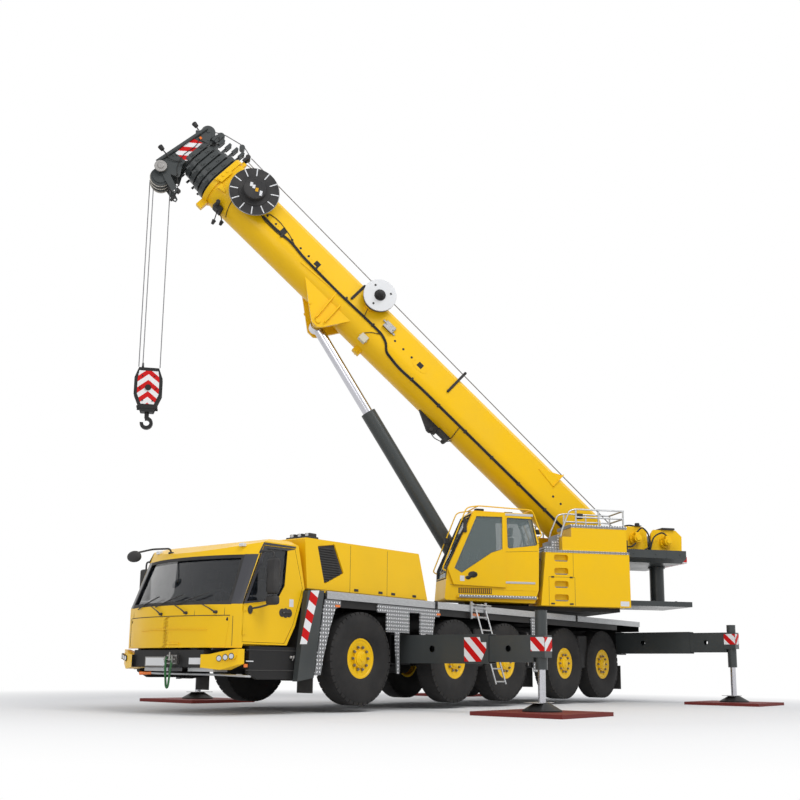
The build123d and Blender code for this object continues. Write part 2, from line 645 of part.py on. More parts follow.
def luffing_rod():
    """Luffing cylinder's rod with its head eye."""
    with BuildPart() as piece:
        bar(front(CYLINDER, 1850), (0, 0), 112, CYLINDER_LENGTH - 1950)
        cross_bar(CYLINDER, (CYLINDER_LENGTH, 0), 140, (-150, 150))
    return piece


# ---------- hook ----------
HEAD_POINT = UPPER.to_local_coords(BOOM.from_local_coords((HEAD_L, 0, HEAD_H)))
HANG = Plane(UPPER.from_local_coords((HEAD_POINT.X, 0, HEAD_POINT.Z)), x_dir=UPPER.x_dir, z_dir=(0, 0, 1))
BLOCK_TOP = -4150
BLOCK_SHEAVE_R = 200


def hoist_ropes():
    """Two falls and the dead end between the head and the hook block."""
    with BuildPart() as piece:
        for x in (-BLOCK_SHEAVE_R - 12, BLOCK_SHEAVE_R + 12):
            bar(HANG.offset(BLOCK_TOP + 5), (x, 0), 10, -BLOCK_TOP - 20)
        bar(HANG.offset(BLOCK_TOP + 5), (130, 75), 10, -BLOCK_TOP - 250)
    return piece


def hook_block():
    """Hook block with cheek plates, sheave and single hook."""
    with BuildPart() as piece:
        for sign in SIDES.values():
            cheek = max(sign * 60, sign * 95)
            plate(side(HANG, cheek), [(-200, -4180), (-280, -4400), (-280, -4750), (-130, -5110), (130, -5110), (280, -4750),
                                      (280, -4400), (200, -4180)], 35)
        cross_bar(HANG, (0, -HOOK_DROP), BLOCK_SHEAVE_R, (-45, 45))
        cross_bar(HANG, (0, -HOOK_DROP), 60, (-110, 110))
        block(HANG, (-120, 120), (-60, 60), (-5110, -4990))
        bar(HANG.offset(-5230), (0, 0), 45, 130)
        with BuildSketch(side(HANG, 45)) as hook:
            with Locations((0, -5330)):
                Circle(130)
                Circle(62, mode=Mode.SUBTRACT)
                with Locations((100, 70)):
                    Rectangle(140, 120, mode=Mode.SUBTRACT)
        extrude(hook.sketch, amount=90)
    return piece


# ---------- build everything ----------
os.makedirs("parts", exist_ok=True)
for number, (axle_x, steered) in AXLES.items():
    for side_name, sign in SIDES.items():
        place = wheel_frame(axle_x, sign)
        hand_over(tyre(place), f"tyre_{number}_{side_name}")
        hand_over(rim(place), f"rim_{number}_{side_name}")
        if steered:
            hand_over(knuckle(axle_x, sign), f"knuckle_{number}_{side_name}")
hand_over(axle_beams(), "axle_beams")
hand_over(carrier_frame(), "carrier_frame")
hand_over(side_panels(), "side_panels")
hand_over(engine_housing(), "engine_housing")
hand_over(carrier_cab(), "carrier_cab")
hand_over(front_bumper(), "front_bumper")
hand_over(outrigger_mats(), "outrigger_mats")
for side_name, sign in SIDES.items():
    hand_over(cab_door(sign), f"cab_door_{side_name}")
    for name in OUTRIGGERS:
        hand_over(outer_beam(name, side_name), f"outrigger_{name}_{side_name}_outer")
        hand_over(inner_beam(name, side_name), f"outrigger_{name}_{side_name}_inner")
        hand_over(jack(name, side_name), f"jack_{name}_{side_name}")
hand_over(slew_platform(), "slew_platform")
hand_over(upper_housing(), "upper_housing")
hand_over(counterweight(), "counterweight")
hand_over(crane_cab(), "crane_cab")
hand_over(crane_cab_door(), "crane_cab_door")
hand_over(boom_base(), "boom_base")
for number in range(2, 7):
    hand_over(telescope(number), f"boom_section_{number}")
hand_over(luffing_barrel(), "luffing_barrel")
hand_over(luffing_rod(), "luffing_rod")
hand_over(hoist_ropes(), "hoist_ropes")
hand_over(hook_block(), "hook_block")
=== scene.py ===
from math import cos, pi, radians, sin, sqrt

import bmesh
import bpy
from mathutils import Matrix, Vector


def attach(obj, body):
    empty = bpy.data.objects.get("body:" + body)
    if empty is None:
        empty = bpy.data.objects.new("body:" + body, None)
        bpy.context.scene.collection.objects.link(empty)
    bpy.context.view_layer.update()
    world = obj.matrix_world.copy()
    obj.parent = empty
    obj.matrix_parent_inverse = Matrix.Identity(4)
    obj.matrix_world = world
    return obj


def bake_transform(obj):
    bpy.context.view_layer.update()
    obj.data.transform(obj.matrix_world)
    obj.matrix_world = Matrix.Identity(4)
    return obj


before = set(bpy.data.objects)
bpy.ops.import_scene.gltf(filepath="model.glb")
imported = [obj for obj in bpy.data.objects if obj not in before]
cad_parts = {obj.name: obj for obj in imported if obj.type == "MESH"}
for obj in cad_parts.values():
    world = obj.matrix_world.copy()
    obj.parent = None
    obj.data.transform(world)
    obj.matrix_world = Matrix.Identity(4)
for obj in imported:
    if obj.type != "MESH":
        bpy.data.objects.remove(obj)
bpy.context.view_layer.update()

# ---------- frames, in metres, as in the part's source ----------
CARRIER = Matrix.Translation((3.769, 0.2356, 0))
UPPER = CARRIER @ Matrix.Translation((-6.05, 0, 0)) @ Matrix.Rotation(radians(-39.1), 4, "Z")
PIVOT = (-1.68, 0, 3.15)
BOOM = UPPER @ Matrix.Translation(PIVOT) @ Matrix.Rotation(radians(-42.3), 4, "Y")
SHEAVE_AXLE = Vector((12.0, 0, -0.475))
HEAD = UPPER.inverted() @ BOOM @ SHEAVE_AXLE
HANG = UPPER @ Matrix.Translation(HEAD)
UPPER_X = UPPER.to_3x3() @ Vector((1, 0, 0))
UPPER_Y = UPPER.to_3x3() @ Vector((0, 1, 0))
BOOM_X = BOOM.to_3x3() @ Vector((1, 0, 0))
BOOM_Z = BOOM.to_3x3() @ Vector((0, 0, 1))
SIDES = {"left": 1, "right": -1}

# ---------- driving dimensions, in metres ----------
AXLES = {1: 0, 2: -2.54, 3: -4.19, 4: -6.44, 5: -8.11}
STEERED = (1, 2)
WHEEL_Y, HUB_HEIGHT = 1.175, 0.822
# Each outrigger: x of the left and the right beam, beam's underside and top, top of the jack tube.
OUTRIGGERS = {"front": (-1.338, -1.088, 0.765, 1.225, 1.57), "rear": (-9.268, -9.518, 1.07, 1.54, 1.67)}
JACK_Y = 3.784
# Where thin trim starts on the sides: engine housing, driver's cab, machinery housings, boom.
BODY_FACE, DOOR_FACE, UPPER_FACE, BOOM_FACE = 1.2502, 1.2505, 1.3202, 0.43
# Middles of both cabs; faces turned towards them are lining.
CAB_MIDDLE, CRANE_CAB_MIDDLE = Vector((1.9, 0, 1.72)), Vector((0.55, 0.89, 2.9))
# Centres of both cable reels in the boom's x-z plane.
REEL, LEAD_REEL = (10.30, 0.563), (6.93, 0.92)

# ---------- where pieces are drawn and which body carries them ----------
ON_CARRIER = (CARRIER, "carrier")
ON_PLATFORM = (UPPER, "superstructure")
ON_CRANE_CAB = (UPPER, "crane_cab")
ON_CRANE_DOOR = (UPPER, "crane_cab_door")
ON_BOOM = (BOOM, "boom_base")
ON_HEAD = (BOOM, "boom_section_6")
ON_HOOK = (HANG, "hook")


# ---------- materials ----------
def new_material(name, colour, roughness, metallic=0.0, **sockets):
    """A material with its main shader; extra sockets are given by name."""
    material = bpy.data.materials.new(name)
    material.use_nodes = True
    shader = material.node_tree.nodes["Principled BSDF"]
    shader.inputs["Base Color"].default_value = (*colour, 1)
    shader.inputs["Roughness"].default_value = roughness
    shader.inputs["Metallic"].default_value = metallic
    for socket, value in sockets.items():
        shader.inputs[socket.replace("_", " ")].default_value = value
    return material


def node(material, kind, **inputs):
    """Adds a shader node; inputs are values or other nodes' sockets, by name or as i0, i1, i2."""
    made = material.node_tree.nodes.new("ShaderNode" + kind)
    for name, value in inputs.items():
        if name == "operation":
            made.operation = value
            continue
        socket = made.inputs[int(name[1:])] if name[1:].isdigit() else made.inputs[name]
        if isinstance(value, bpy.types.NodeSocket):
            material.node_tree.links.new(value, socket)
        else:
            socket.default_value = value
    return made


def link(material, output, socket):
    """Joins an output to a socket of the main shader."""
    shader = material.node_tree.nodes["Principled BSDF"]
    material.node_tree.links.new(output, shader.inputs[socket])


def place(material):
    """Object coordinates, which are the machine's own metres."""
    return node(material, "TexCoord").outputs["Object"]


def ramp(material, factor, stops, interpolation="LINEAR"):
    """Colour ramp with stops of (position, colour)."""
    made = node(material, "ValToRGB", Fac=factor)
    made.color_ramp.interpolation = interpolation
    while len(made.color_ramp.elements) < len(stops):
        made.color_ramp.elements.new(0.5)
    for element, (position, colour) in zip(made.color_ramp.elements, stops):
        element.position = position
        element.color = (*colour, 1)
    return made.outputs["Color"]


def grime(material, colour, dusty, amount=0.35, scale=1.6):
    """Uneven tone: broad clouds with fine specks, and dust that gathers low down."""
    at = place(material)
    clouds = node(material, "TexNoise", Vector=at, Scale=scale, Detail=6.0, Roughness=0.62).outputs["Fac"]
    specks = node(material, "TexNoise", Vector=at, Scale=90.0, Detail=2.0).outputs["Fac"]
    both = node(material, "Math", operation="MULTIPLY_ADD", i0=specks, i1=0.3, i2=clouds).outputs[0]
    height = node(material, "SeparateXYZ", Vector=at).outputs["Z"]
    low = node(material, "MapRange", i0=height, i1=0.0, i2=3.0, i3=0.25, i4=0.0).outputs[0]
    level = node(material, "Math", operation="ADD", i0=both, i1=low).outputs[0]
    soft = [c + (d - c) * amount for c, d in zip(colour, dusty)]
    link(material, ramp(material, level, [(0.45, colour), (0.95, soft)]), "Base Color")
    return clouds, specks


def paint(name, colour, dusty, roughness=0.34, coat=0.08, amount=0.16):
    """Sprayed machine paint with orange peel, uneven gloss and light dust."""
    material = new_material(name, colour, roughness, Coat_Weight=coat, Coat_Roughness=0.15,
                            Specular_IOR_Level=0.2)
    clouds, specks = grime(material, colour, dusty, amount)
    gloss = node(material, "MapRange", i0=clouds, i1=0.35, i2=0.7, i3=roughness - 0.06, i4=roughness + 0.12)
    link(material, gloss.outputs[0], "Roughness")
    bump = node(material, "Bump", Height=specks, Strength=0.04, Distance=0.002)
    link(material, bump.outputs[0], "Normal")
    return material


YELLOW = (0.93, 0.55, 0.002)
MATERIALS = {
    "yellow": paint("yellow_paint", YELLOW, (0.55, 0.38, 0.06)),
    # Darker yellow: the amber label's own colour, and painted shade on the door creases and the crane cab's
    # louvre slats.
    "amber_and_shade_yellow": paint("amber_and_painted_shade_yellow_paint", (0.74, 0.38, 0.002), (0.45, 0.30, 0.05)),
    "grey": paint("dark_grey_paint", (0.045, 0.052, 0.053), (0.13, 0.125, 0.115), 0.38, 0.25),
    "black": paint("black_chassis_paint", (0.011, 0.011, 0.012), (0.06, 0.057, 0.05), 0.5, 0.1),
    "mat": paint("red_brown_mat_paint", (0.135, 0.008, 0.007), (0.20, 0.06, 0.05), 0.6, 0.0, 0.4),
    "white": paint("white_paint", (0.72, 0.73, 0.74), (0.5, 0.49, 0.46), 0.35, 0.2),
    "orange": paint("orange_lens", (0.9, 0.19, 0.01), (0.6, 0.2, 0.05), 0.2, 0.7),
    "red": paint("red_lens", (0.55, 0.01, 0.008), (0.4, 0.05, 0.04), 0.2, 0.7),
}


def rubber(name, colour, grain, relief=0.25, shine=0.35, dust=0.5):
    """Rubber or cloth with a fine matt grain and dust."""
    material = new_material(name, colour, 0.75, Specular_IOR_Level=shine)
    grime(material, colour, (0.09, 0.085, 0.078), dust, 2.5)
    fine = node(material, "TexNoise", Vector=place(material), Scale=grain, Detail=3.0).outputs["Fac"]
    bump = node(material, "Bump", Height=fine, Strength=relief, Distance=0.004)
    link(material, bump.outputs[0], "Normal")
    return material


MATERIALS["tyre"] = rubber("tyre_rubber", (0.010, 0.010, 0.011), 60.0, 0.2, 0.25, 0.25)
# Black hose rubber, also used as painted shade in the boom's holes and behind the crane cab's louvre.
MATERIALS["hose"] = rubber("hose_rubber_and_painted_shade", (0.009, 0.009, 0.009), 200.0)


def brushed(name, colour, roughness, stretch):
    """Bare metal with a fine drawn grain along one direction."""
    material = new_material(name, colour, roughness, 1.0)
    stretched = node(material, "Mapping", Vector=place(material), Scale=stretch).outputs[0]
    grain = node(material, "TexNoise", Vector=stretched, Scale=30.0, Detail=4.0).outputs["Fac"]
    tone = [c * 0.7 for c in colour]
    link(material, ramp(material, grain, [(0.3, tone), (0.7, colour)]), "Base Color")
    gloss = node(material, "MapRange", i0=grain, i1=0.3, i2=0.7, i3=roughness + 0.12, i4=roughness - 0.05)
    link(material, gloss.outputs[0], "Roughness")
    bump = node(material, "Bump", Height=grain, Strength=0.08, Distance=0.001)
    link(material, bump.outputs[0], "Normal")
    return material


MATERIALS["aluminium"] = brushed("aluminium", (0.54, 0.55, 0.56), 0.42, (0.6, 8, 8))
MATERIALS["chrome"] = brushed("rod_chrome", (0.62, 0.62, 0.66), 0.16, (3, 3, 3))
MATERIALS["rope"] = brushed("rope_steel", (0.22, 0.22, 0.23), 0.45, (12, 12, 2))
MATERIALS["steel"] = brushed("worn_steel", (0.34, 0.33, 0.32), 0.42, (2, 2, 2))
MATERIALS["sheave"] = brushed("sheave_nylon", (0.55, 0.52, 0.47), 0.55, (2, 2, 2))


def chequer_plate(name, across, up):
    """Aluminium tread plate: short raised bars that lean left and right in turn."""
    material = new_material(name, (0.5, 0.5, 0.5), 0.42, 0.3)
    at = place(material)
    pitch = 0.058
    u = node(material, "VectorMath", operation="DOT_PRODUCT", i0=at, i1=across).outputs["Value"]
    v = node(material, "VectorMath", operation="DOT_PRODUCT", i0=at, i1=up).outputs["Value"]

    def math(operation, first, second=0.0, third=0.0):
        return node(material, "Math", operation=operation, i0=first, i1=second, i2=third).outputs[0]

    su, sv = math("DIVIDE", u, pitch), math("DIVIDE", v, pitch)
    parity = math("FLOORED_MODULO", math("ADD", math("FLOOR", su), math("FLOOR", sv)), 2.0)
    lean = math("MULTIPLY_ADD", parity, 2.0, -1.0)
    cu = math("SUBTRACT", math("FRACT", su), 0.5)
    cv = math("SUBTRACT", math("FRACT", sv), 0.5)
    along = math("ADD", cu, math("MULTIPLY", cv, lean))
    aside = math("SUBTRACT", cv, math("MULTIPLY", cu, lean))
    spread = math("ADD", math("MULTIPLY", math("MULTIPLY", along, along), 4.5),
                  math("MULTIPLY", math("MULTIPLY", aside, aside), 14.0))
    bar = node(material, "MapRange", i0=spread, i1=0.75, i2=1.1, i3=1.0, i4=0.0).outputs[0]
    link(material, ramp(material, bar, [(0.2, (0.22, 0.225, 0.23)), (0.8, (0.86, 0.87, 0.88))]), "Base Color")
    bump = node(material, "Bump", Height=bar, Strength=0.6, Distance=0.004)
    link(material, bump.outputs[0], "Normal")
    return material


MATERIALS["chequer_side"] = chequer_plate("chequer_plate_side", (1, 0, 0), (0, 0, 1))
MATERIALS["chequer_top"] = chequer_plate("chequer_plate_top", tuple(UPPER_X), tuple(UPPER_Y))
MATERIALS["chequer_upper"] = chequer_plate("chequer_plate_upper", tuple(UPPER_X), (0, 0, 1))


BARS = [(0.0, (0.60, 0.004, 0.004)), (0.5, (0.82, 0.82, 0.82))]


def striped(name, direction, width):
    """Reflective sheet with diagonal red and white bars."""
    material = new_material(name, (0.8, 0.8, 0.8), 0.5, Specular_IOR_Level=0.2)
    run = node(material, "VectorMath", operation="DOT_PRODUCT", i0=place(material),
               i1=direction).outputs["Value"]
    step = node(material, "Math", operation="MULTIPLY", i0=run, i1=1 / width).outputs[0]
    share = node(material, "Math", operation="FRACT", i0=step).outputs[0]
    link(material, ramp(material, share, BARS, "CONSTANT"), "Base Color")
    cells = node(material, "TexVoronoi", Vector=place(material), Scale=260.0).outputs["Distance"]
    bump = node(material, "Bump", Height=cells, Strength=0.08, Distance=0.001)
    link(material, bump.outputs[0], "Normal")
    return material


MATERIALS["stripes_side"] = striped("striped_sheet_side", (0.72, 0, 0.72), 0.2)
MATERIALS["stripes_column"] = striped("striped_sheet_column", (-0.5, 0, 0.87), 0.265)
MATERIALS["stripes_left"] = striped("striped_sheet_beams_left", (0, 0.72, 0.72), 0.19)
MATERIALS["stripes_right"] = striped("striped_sheet_beams_right", (0, -0.72, 0.72), 0.19)
MATERIALS["stripes_upper"] = striped("striped_sheet_upper", tuple(UPPER_Y * 0.7 + Vector((0, 0, 0.7))), 0.16)
MATERIALS["stripes_head"] = striped("striped_sheet_head", tuple(BOOM_X * 0.7 + BOOM_Z * 0.7), 0.2)


def chevron(name):
    """Hook block's cheek: red and white arrows pointing up, in a dark edge."""
    material = new_material(name, (0.8, 0.8, 0.8), 0.5, Specular_IOR_Level=0.2)
    at = node(material, "VectorMath", operation="SUBTRACT", i0=place(material),
              i1=tuple(HANG.translation)).outputs[0]
    aside = node(material, "VectorMath", operation="DOT_PRODUCT", i0=at, i1=tuple(UPPER_X)).outputs["Value"]
    wide = node(material, "Math", operation="ABSOLUTE", i0=aside).outputs[0]
    up = node(material, "SeparateXYZ", Vector=at).outputs["Z"]
    run = node(material, "Math", operation="MULTIPLY_ADD", i0=wide, i1=0.8, i2=up).outputs[0]
    step = node(material, "Math", operation="MULTIPLY", i0=run, i1=1 / 0.24).outputs[0]
    share = node(material, "Math", operation="FRACT", i0=step).outputs[0]
    link(material, ramp(material, share, BARS, "CONSTANT"), "Base Color")
    return material


MATERIALS["chevron"] = chevron("chevron_sheet")


def window(name, colour, alpha):
    """Tinted safety glass that stays slightly see-through."""
    material = new_material(name, colour, 0.04, Alpha=alpha, Coat_Weight=1.0, Coat_Roughness=0.02)
    haze = node(material, "TexNoise", Vector=place(material), Scale=2.0, Detail=2.0).outputs["Fac"]
    gloss = node(material, "MapRange", i0=haze, i1=0.3, i2=0.7, i3=0.02, i4=0.07)
    link(material, gloss.outputs[0], "Roughness")
    return material


MATERIALS["glass"] = window("tinted_cab_glass", (0.012, 0.016, 0.022), 0.38)
MATERIALS["clear_glass"] = window("crane_cab_glass", (0.16, 0.21, 0.21), 0.42)
MATERIALS["lamp"] = window("lamp_glass", (0.75, 0.77, 0.8), 0.85)
MATERIALS["mirror"] = brushed("mirror_glass", (0.42, 0.45, 0.48), 0.07, (2, 2, 2))
MATERIALS["rope_drum"] = brushed("wound_rope", (0.16, 0.155, 0.15), 0.5, (1, 60, 1))
MATERIALS["webbing"] = rubber("green_webbing", (0.012, 0.16, 0.035), 300.0)
MATERIALS["rubber"] = rubber("window_rubber", (0.012, 0.012, 0.013), 150.0)
MATERIALS["plastic"] = rubber("black_plastic", (0.018, 0.018, 0.02), 120.0)
MATERIALS["seat_cloth"] = rubber("seat_cloth", (0.03, 0.032, 0.036), 260.0, 0.04, 0.1)
MATERIALS["lining"] = rubber("cab_lining", (0.022, 0.024, 0.028), 90.0, 0.02, 0.1, 0.1)
MATERIALS["crane_lining"] = rubber("crane_cab_lining", (0.055, 0.06, 0.062), 90.0, 0.02, 0.1, 0.1)
MATERIALS["trim"] = paint("pillar_trim", (0.045, 0.045, 0.052), (0.09, 0.09, 0.09), 0.34, 0.2)
MATERIALS["cream"] = paint("cream_box_paint", (0.62, 0.58, 0.44), (0.4, 0.36, 0.28), 0.45, 0.1)


# ---------- shapes ----------
def both_sides(mount):
    """Each side's name, with a mount that turns what is drawn for the left side over to that side."""
    at, body = mount
    for side, sign in SIDES.items():
        yield side, (at @ Matrix.Diagonal((1, sign, 1, 1)), body)


def show(bm, name, mount, material, bevel=0.0, smooth=True):
    """Makes a piece of a finished bmesh: a mount gives its frame and the body that carries it."""
    at, body = mount
    bmesh.ops.remove_doubles(bm, verts=bm.verts, dist=1e-5)
    bmesh.ops.transform(bm, matrix=at, verts=bm.verts)
    bmesh.ops.recalc_face_normals(bm, faces=bm.faces)
    mesh = bpy.data.meshes.new(name)
    bm.to_mesh(mesh)
    bm.free()
    made = bpy.data.objects.new(name, mesh)
    bpy.context.scene.collection.objects.link(made)
    made.data.materials.append(MATERIALS[material])
    if bevel:
        edge = made.modifiers.new("edge", "BEVEL")
        edge.width = bevel
        edge.segments = 2
        edge.limit_method = "ANGLE"
    if smooth:
        for face in mesh.polygons:
            face.use_smooth = True
        mesh.set_sharp_from_angle(angle=radians(32))
    if body:
        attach(made, body)
    return made


def block(bm, x, y, z):
    """Box between limits."""
    made = bmesh.ops.create_cube(bm, size=1.0)["verts"]
    size = Vector((x[1] - x[0], y[1] - y[0], z[1] - z[0]))
    middle = Vector((x[0] + x[1], y[0] + y[1], z[0] + z[1])) / 2
    bmesh.ops.transform(bm, matrix=Matrix.Translation(middle) @ Matrix.Diagonal((*size, 1)), verts=made)
    return made


def rod(bm, start, end, radius, end_radius=None, segments=20):
    """Round bar or cone between two points."""
    start, end = Vector(start), Vector(end)
    made = bmesh.ops.create_cone(bm, cap_ends=True, segments=segments, radius1=radius,
                                 radius2=radius if end_radius is None else end_radius,
                                 depth=(end - start).length)["verts"]
    turn = Vector((0, 0, 1)).rotation_difference(end - start).to_matrix().to_4x4()
    bmesh.ops.transform(bm, matrix=Matrix.Translation((start + end) / 2) @ turn, verts=made)
    return made


def pin(bm, spot, start, end, radius, end_radius=None, segments=20):
    """Round bar at a place in the frame's x-z plane, from y = start to y = end."""
    x, z = spot
    return rod(bm, (x, start, z), (x, end, z), radius, end_radius, segments)


def around(middle, half):
    """Limits to both sides of a middle."""
    return middle - half, middle + half


def y_limits(sign, near, far):
    """Limits in y on the left or the right side, in rising order."""
    return sorted((sign * near, sign * far))


def round_places(count, radius):
    """Evenly spaced places on a circle about the origin."""
    for step in range(count):
        angle = 2 * pi * step / count
        yield radius * cos(angle), radius * sin(angle)


def shifted(geometry):
    """Vertices among the results of an operator."""
    return [item for item in geometry if isinstance(item, bmesh.types.BMVert)]


def wire_ring(bm, centre, wire, axis, segments, steps):
    """Ring of round wire: centre is the wire's own place before it is spun about the origin."""
    turn = Matrix.Rotation(pi / 2, 4, "X") if axis == (0, 0, 1) else Matrix()
    profile = bmesh.ops.create_circle(bm, segments=segments, radius=wire,
                                      matrix=Matrix.Translation(centre) @ turn)["verts"]
    edges = list({edge for vert in profile for edge in vert.link_edges})
    bmesh.ops.spin(bm, geom=profile + edges, cent=(0, 0, 0), axis=axis, angle=2 * pi, steps=steps,
                   use_merge=True)


def chain(bm, points, radius, segments=8):
    """Round bars from point to point."""
    for start, end in zip(points, points[1:]):
        rod(bm, start, end, radius, segments=segments)


def ball(bm, centre, radius, squash=(1, 1, 1)):
    """Round or flattened ball."""
    made = bmesh.ops.create_uvsphere(bm, u_segments=20, v_segments=12, radius=radius)["verts"]
    bmesh.ops.transform(bm, matrix=Matrix.Translation(centre) @ Matrix.Diagonal((*squash, 1)), verts=made)
    return made


def slab(bm, outline, normal, thickness):
    """Flat plate from an outline, pushed along a direction."""
    verts = [bm.verts.new(point) for point in outline]
    face = bm.faces.new(verts)
    moved = shifted(bmesh.ops.extrude_face_region(bm, geom=[face])["geom"])
    bmesh.ops.translate(bm, vec=Vector(normal) * thickness, verts=moved)
    return verts + moved


def side_slab(bm, points, y, thickness):
    """Plate in the frame's x-z plane, from y towards y + thickness."""
    return slab(bm, [(x, y, z) for x, z in points], (0, 1, 0), thickness)


def side_ring(points, y, thickness, width):
    """Rim of even width inside an outline in the frame's x-z plane."""
    bm = bmesh.new()
    face = bm.faces.new([bm.verts.new((x, y, z)) for x, z in points])
    bmesh.ops.inset_individual(bm, faces=[face], thickness=width)
    bmesh.ops.delete(bm, geom=[face], context="FACES_ONLY")
    moved = shifted(bmesh.ops.extrude_face_region(bm, geom=bm.faces[:])["geom"])
    bmesh.ops.translate(bm, vec=(0, thickness, 0), verts=moved)
    return bm


def hose(name, points, radius, mount, material="hose"):
    """Bent hose, cable or rail through points, or several of them in one piece."""
    curve = bpy.data.curves.new(name, "CURVE")
    curve.dimensions = "3D"
    curve.bevel_depth = radius
    curve.bevel_resolution = 3
    curve.use_fill_caps = True
    for run in points if isinstance(points[0][0], (tuple, Vector)) else [points]:
        spline = curve.splines.new("POLY")
        spline.points.add(len(run) - 1)
        for spot, point in zip(spline.points, run):
            spot.co = (*point, 1)
    shape = bpy.data.objects.new(name + "_curve", curve)
    mesh = bpy.data.meshes.new_from_object(shape)
    bpy.data.objects.remove(shape)
    bm = bmesh.new()
    bm.from_mesh(mesh)
    bpy.data.meshes.remove(mesh)
    return show(bm, name, mount, material)


def rounded(points, radius, steps=4):
    """Route with its corners rounded off."""
    points = [Vector(p) for p in points]
    route = [points[0]]
    for before, corner, after in zip(points, points[1:], points[2:]):
        cut = min(radius, (corner - before).length / 2.2, (after - corner).length / 2.2)
        start = corner + (before - corner).normalized() * cut
        end = corner + (after - corner).normalized() * cut
        for step in range(steps + 1):
            t = step / steps
            route.append(start.lerp(corner, t).lerp(corner.lerp(end, t), t))
    return route + [points[-1]]


def dress(name, material):
    """Gives a CAD node its material."""
    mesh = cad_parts[name].data
    mesh.materials.clear()
    mesh.materials.append(MATERIALS[material])


def patch(name, material, at, test):
    """Gives part of a CAD node another material, where the test holds in a frame."""
    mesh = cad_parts[name].data
    mesh.materials.append(MATERIALS[material])
    back = at.inverted()
    for face in mesh.polygons:
        spot = back @ face.center
        if test(spot, back.to_3x3() @ face.normal):
            face.material_index = len(mesh.materials) - 1


# ---------- finishes of the carried-over nodes ----------
for number in AXLES:
    for side in SIDES:
        dress(f"tyre_{number}_{side}", "tyre")
        dress(f"rim_{number}_{side}", "yellow")
        if number in STEERED:
            dress(f"knuckle_{number}_{side}", "black")
for name in OUTRIGGERS:
    for side in SIDES:
        dress(f"outrigger_{name}_{side}_outer", "grey")
        dress(f"outrigger_{name}_{side}_inner", "grey")
        dress(f"jack_{name}_{side}", "chrome")
        patch(f"jack_{name}_{side}", "black", CARRIER, lambda spot, normal: spot.z < 0.2)
for name in ("axle_beams", "carrier_frame", "slew_platform"):
    dress(name, "black")
patch("carrier_frame", "grey", CARRIER, lambda spot, normal: 0.8 < spot.x < 1.45 and abs(spot.y) > 1.2475)
patch("carrier_frame", "chequer_side", CARRIER, lambda spot, normal: normal.z > 0.9 and spot.z > 1.7)
dress("outrigger_mats", "mat")
dress("side_panels", "chequer_side")
patch("side_panels", "aluminium", CARRIER, lambda spot, normal: spot.z > 1.695 or abs(spot.y) > 1.371)
for name in ("engine_housing", "carrier_cab", "cab_door_left", "cab_door_right", "crane_cab",
             "crane_cab_door", "upper_housing", "boom_base"):
    dress(name, "yellow")
patch("carrier_cab", "lining", CARRIER, lambda spot, normal: normal.dot(CAB_MIDDLE - spot) > 0.02)
for side in SIDES:
    patch(f"cab_door_{side}", "lining", CARRIER, lambda spot, normal: normal.dot(CAB_MIDDLE - spot) > 0.02)
patch("crane_cab", "crane_lining", UPPER, lambda spot, normal: normal.dot(CRANE_CAB_MIDDLE - spot) > 0.02)
patch("crane_cab", "lining", UPPER, lambda spot, normal: spot.x < -0.414)
patch("upper_housing", "chequer_top", UPPER, lambda spot, normal: normal.z > 0.9 and spot.z < 3.65)
patch("upper_housing", "aluminium", UPPER, lambda spot, normal: spot.z > 3.61)
dress("front_bumper", "black")
patch("front_bumper", "yellow", CARRIER, lambda spot, normal: abs(spot.y) > 0.776)
patch("boom_section_6", "sheave", BOOM,
      lambda spot, normal: 11.75 < spot.x < 12.25 and spot.z < -0.28 and abs(spot.y) < 0.2)
patch("boom_base", "plastic", BOOM, lambda spot, normal: spot.y > 0.4301 and 9.7 < spot.x < 10.9)
patch("boom_base", "plastic", BOOM, lambda spot, normal: spot.y > 0.555 and 6.5 < spot.x < 7.4)
patch("boom_base", "white", BOOM, lambda spot, normal: spot.y > 0.645 and 6.5 < spot.x < 7.4)
dress("counterweight", "grey")
patch("counterweight", "yellow", UPPER, lambda spot, normal: spot.z > 3.211)
patch("counterweight", "stripes_upper", UPPER, lambda spot, normal: spot.x < -3.825 and 2.9 < spot.z < 3.2)
for number in range(2, 7):
    dress(f"boom_section_{number}", "grey")
dress("luffing_barrel", "grey")
dress("luffing_rod", "chrome")
dress("hoist_ropes", "rope")
dress("hook_block", "black")


# ---------- wheels ----------
LUGS = 40
NUTS, NUT_CIRCLE = 10, 0.178


def tread_blocks(number, side):
    """Shoulder lugs and middle blocks of a tyre's tread."""
    bm = bmesh.new()
    lug = block(bm, (-0.046, 0.046), (0.085, 0.160), (0.672, 0.7185))
    for vert in lug:
        if vert.co.z < 0.7:
            vert.co.y += 0.010
    lug += block(bm, (-0.044, 0.044), (0.0, 0.075), (0.70, 0.7185))
    geometry = lug + list({face for vert in lug for face in vert.link_faces})
    for step in range(1, LUGS):
        moved = shifted(bmesh.ops.duplicate(bm, geom=geometry)["geom"])
        bmesh.ops.rotate(bm, verts=moved, cent=(0, 0, 0),
                         matrix=Matrix.Rotation(2 * pi * step / LUGS, 3, "Y"))
    bmesh.ops.mirror(bm, geom=bm.verts[:] + bm.faces[:], axis="Y", merge_dist=1e-6)
    at = CARRIER @ Matrix.Translation((AXLES[number], SIDES[side] * WHEEL_Y, HUB_HEIGHT))
    show(bm, f"tread_{number}_{side}", (at, f"wheel_{number}_{side}"), "tyre", smooth=False)


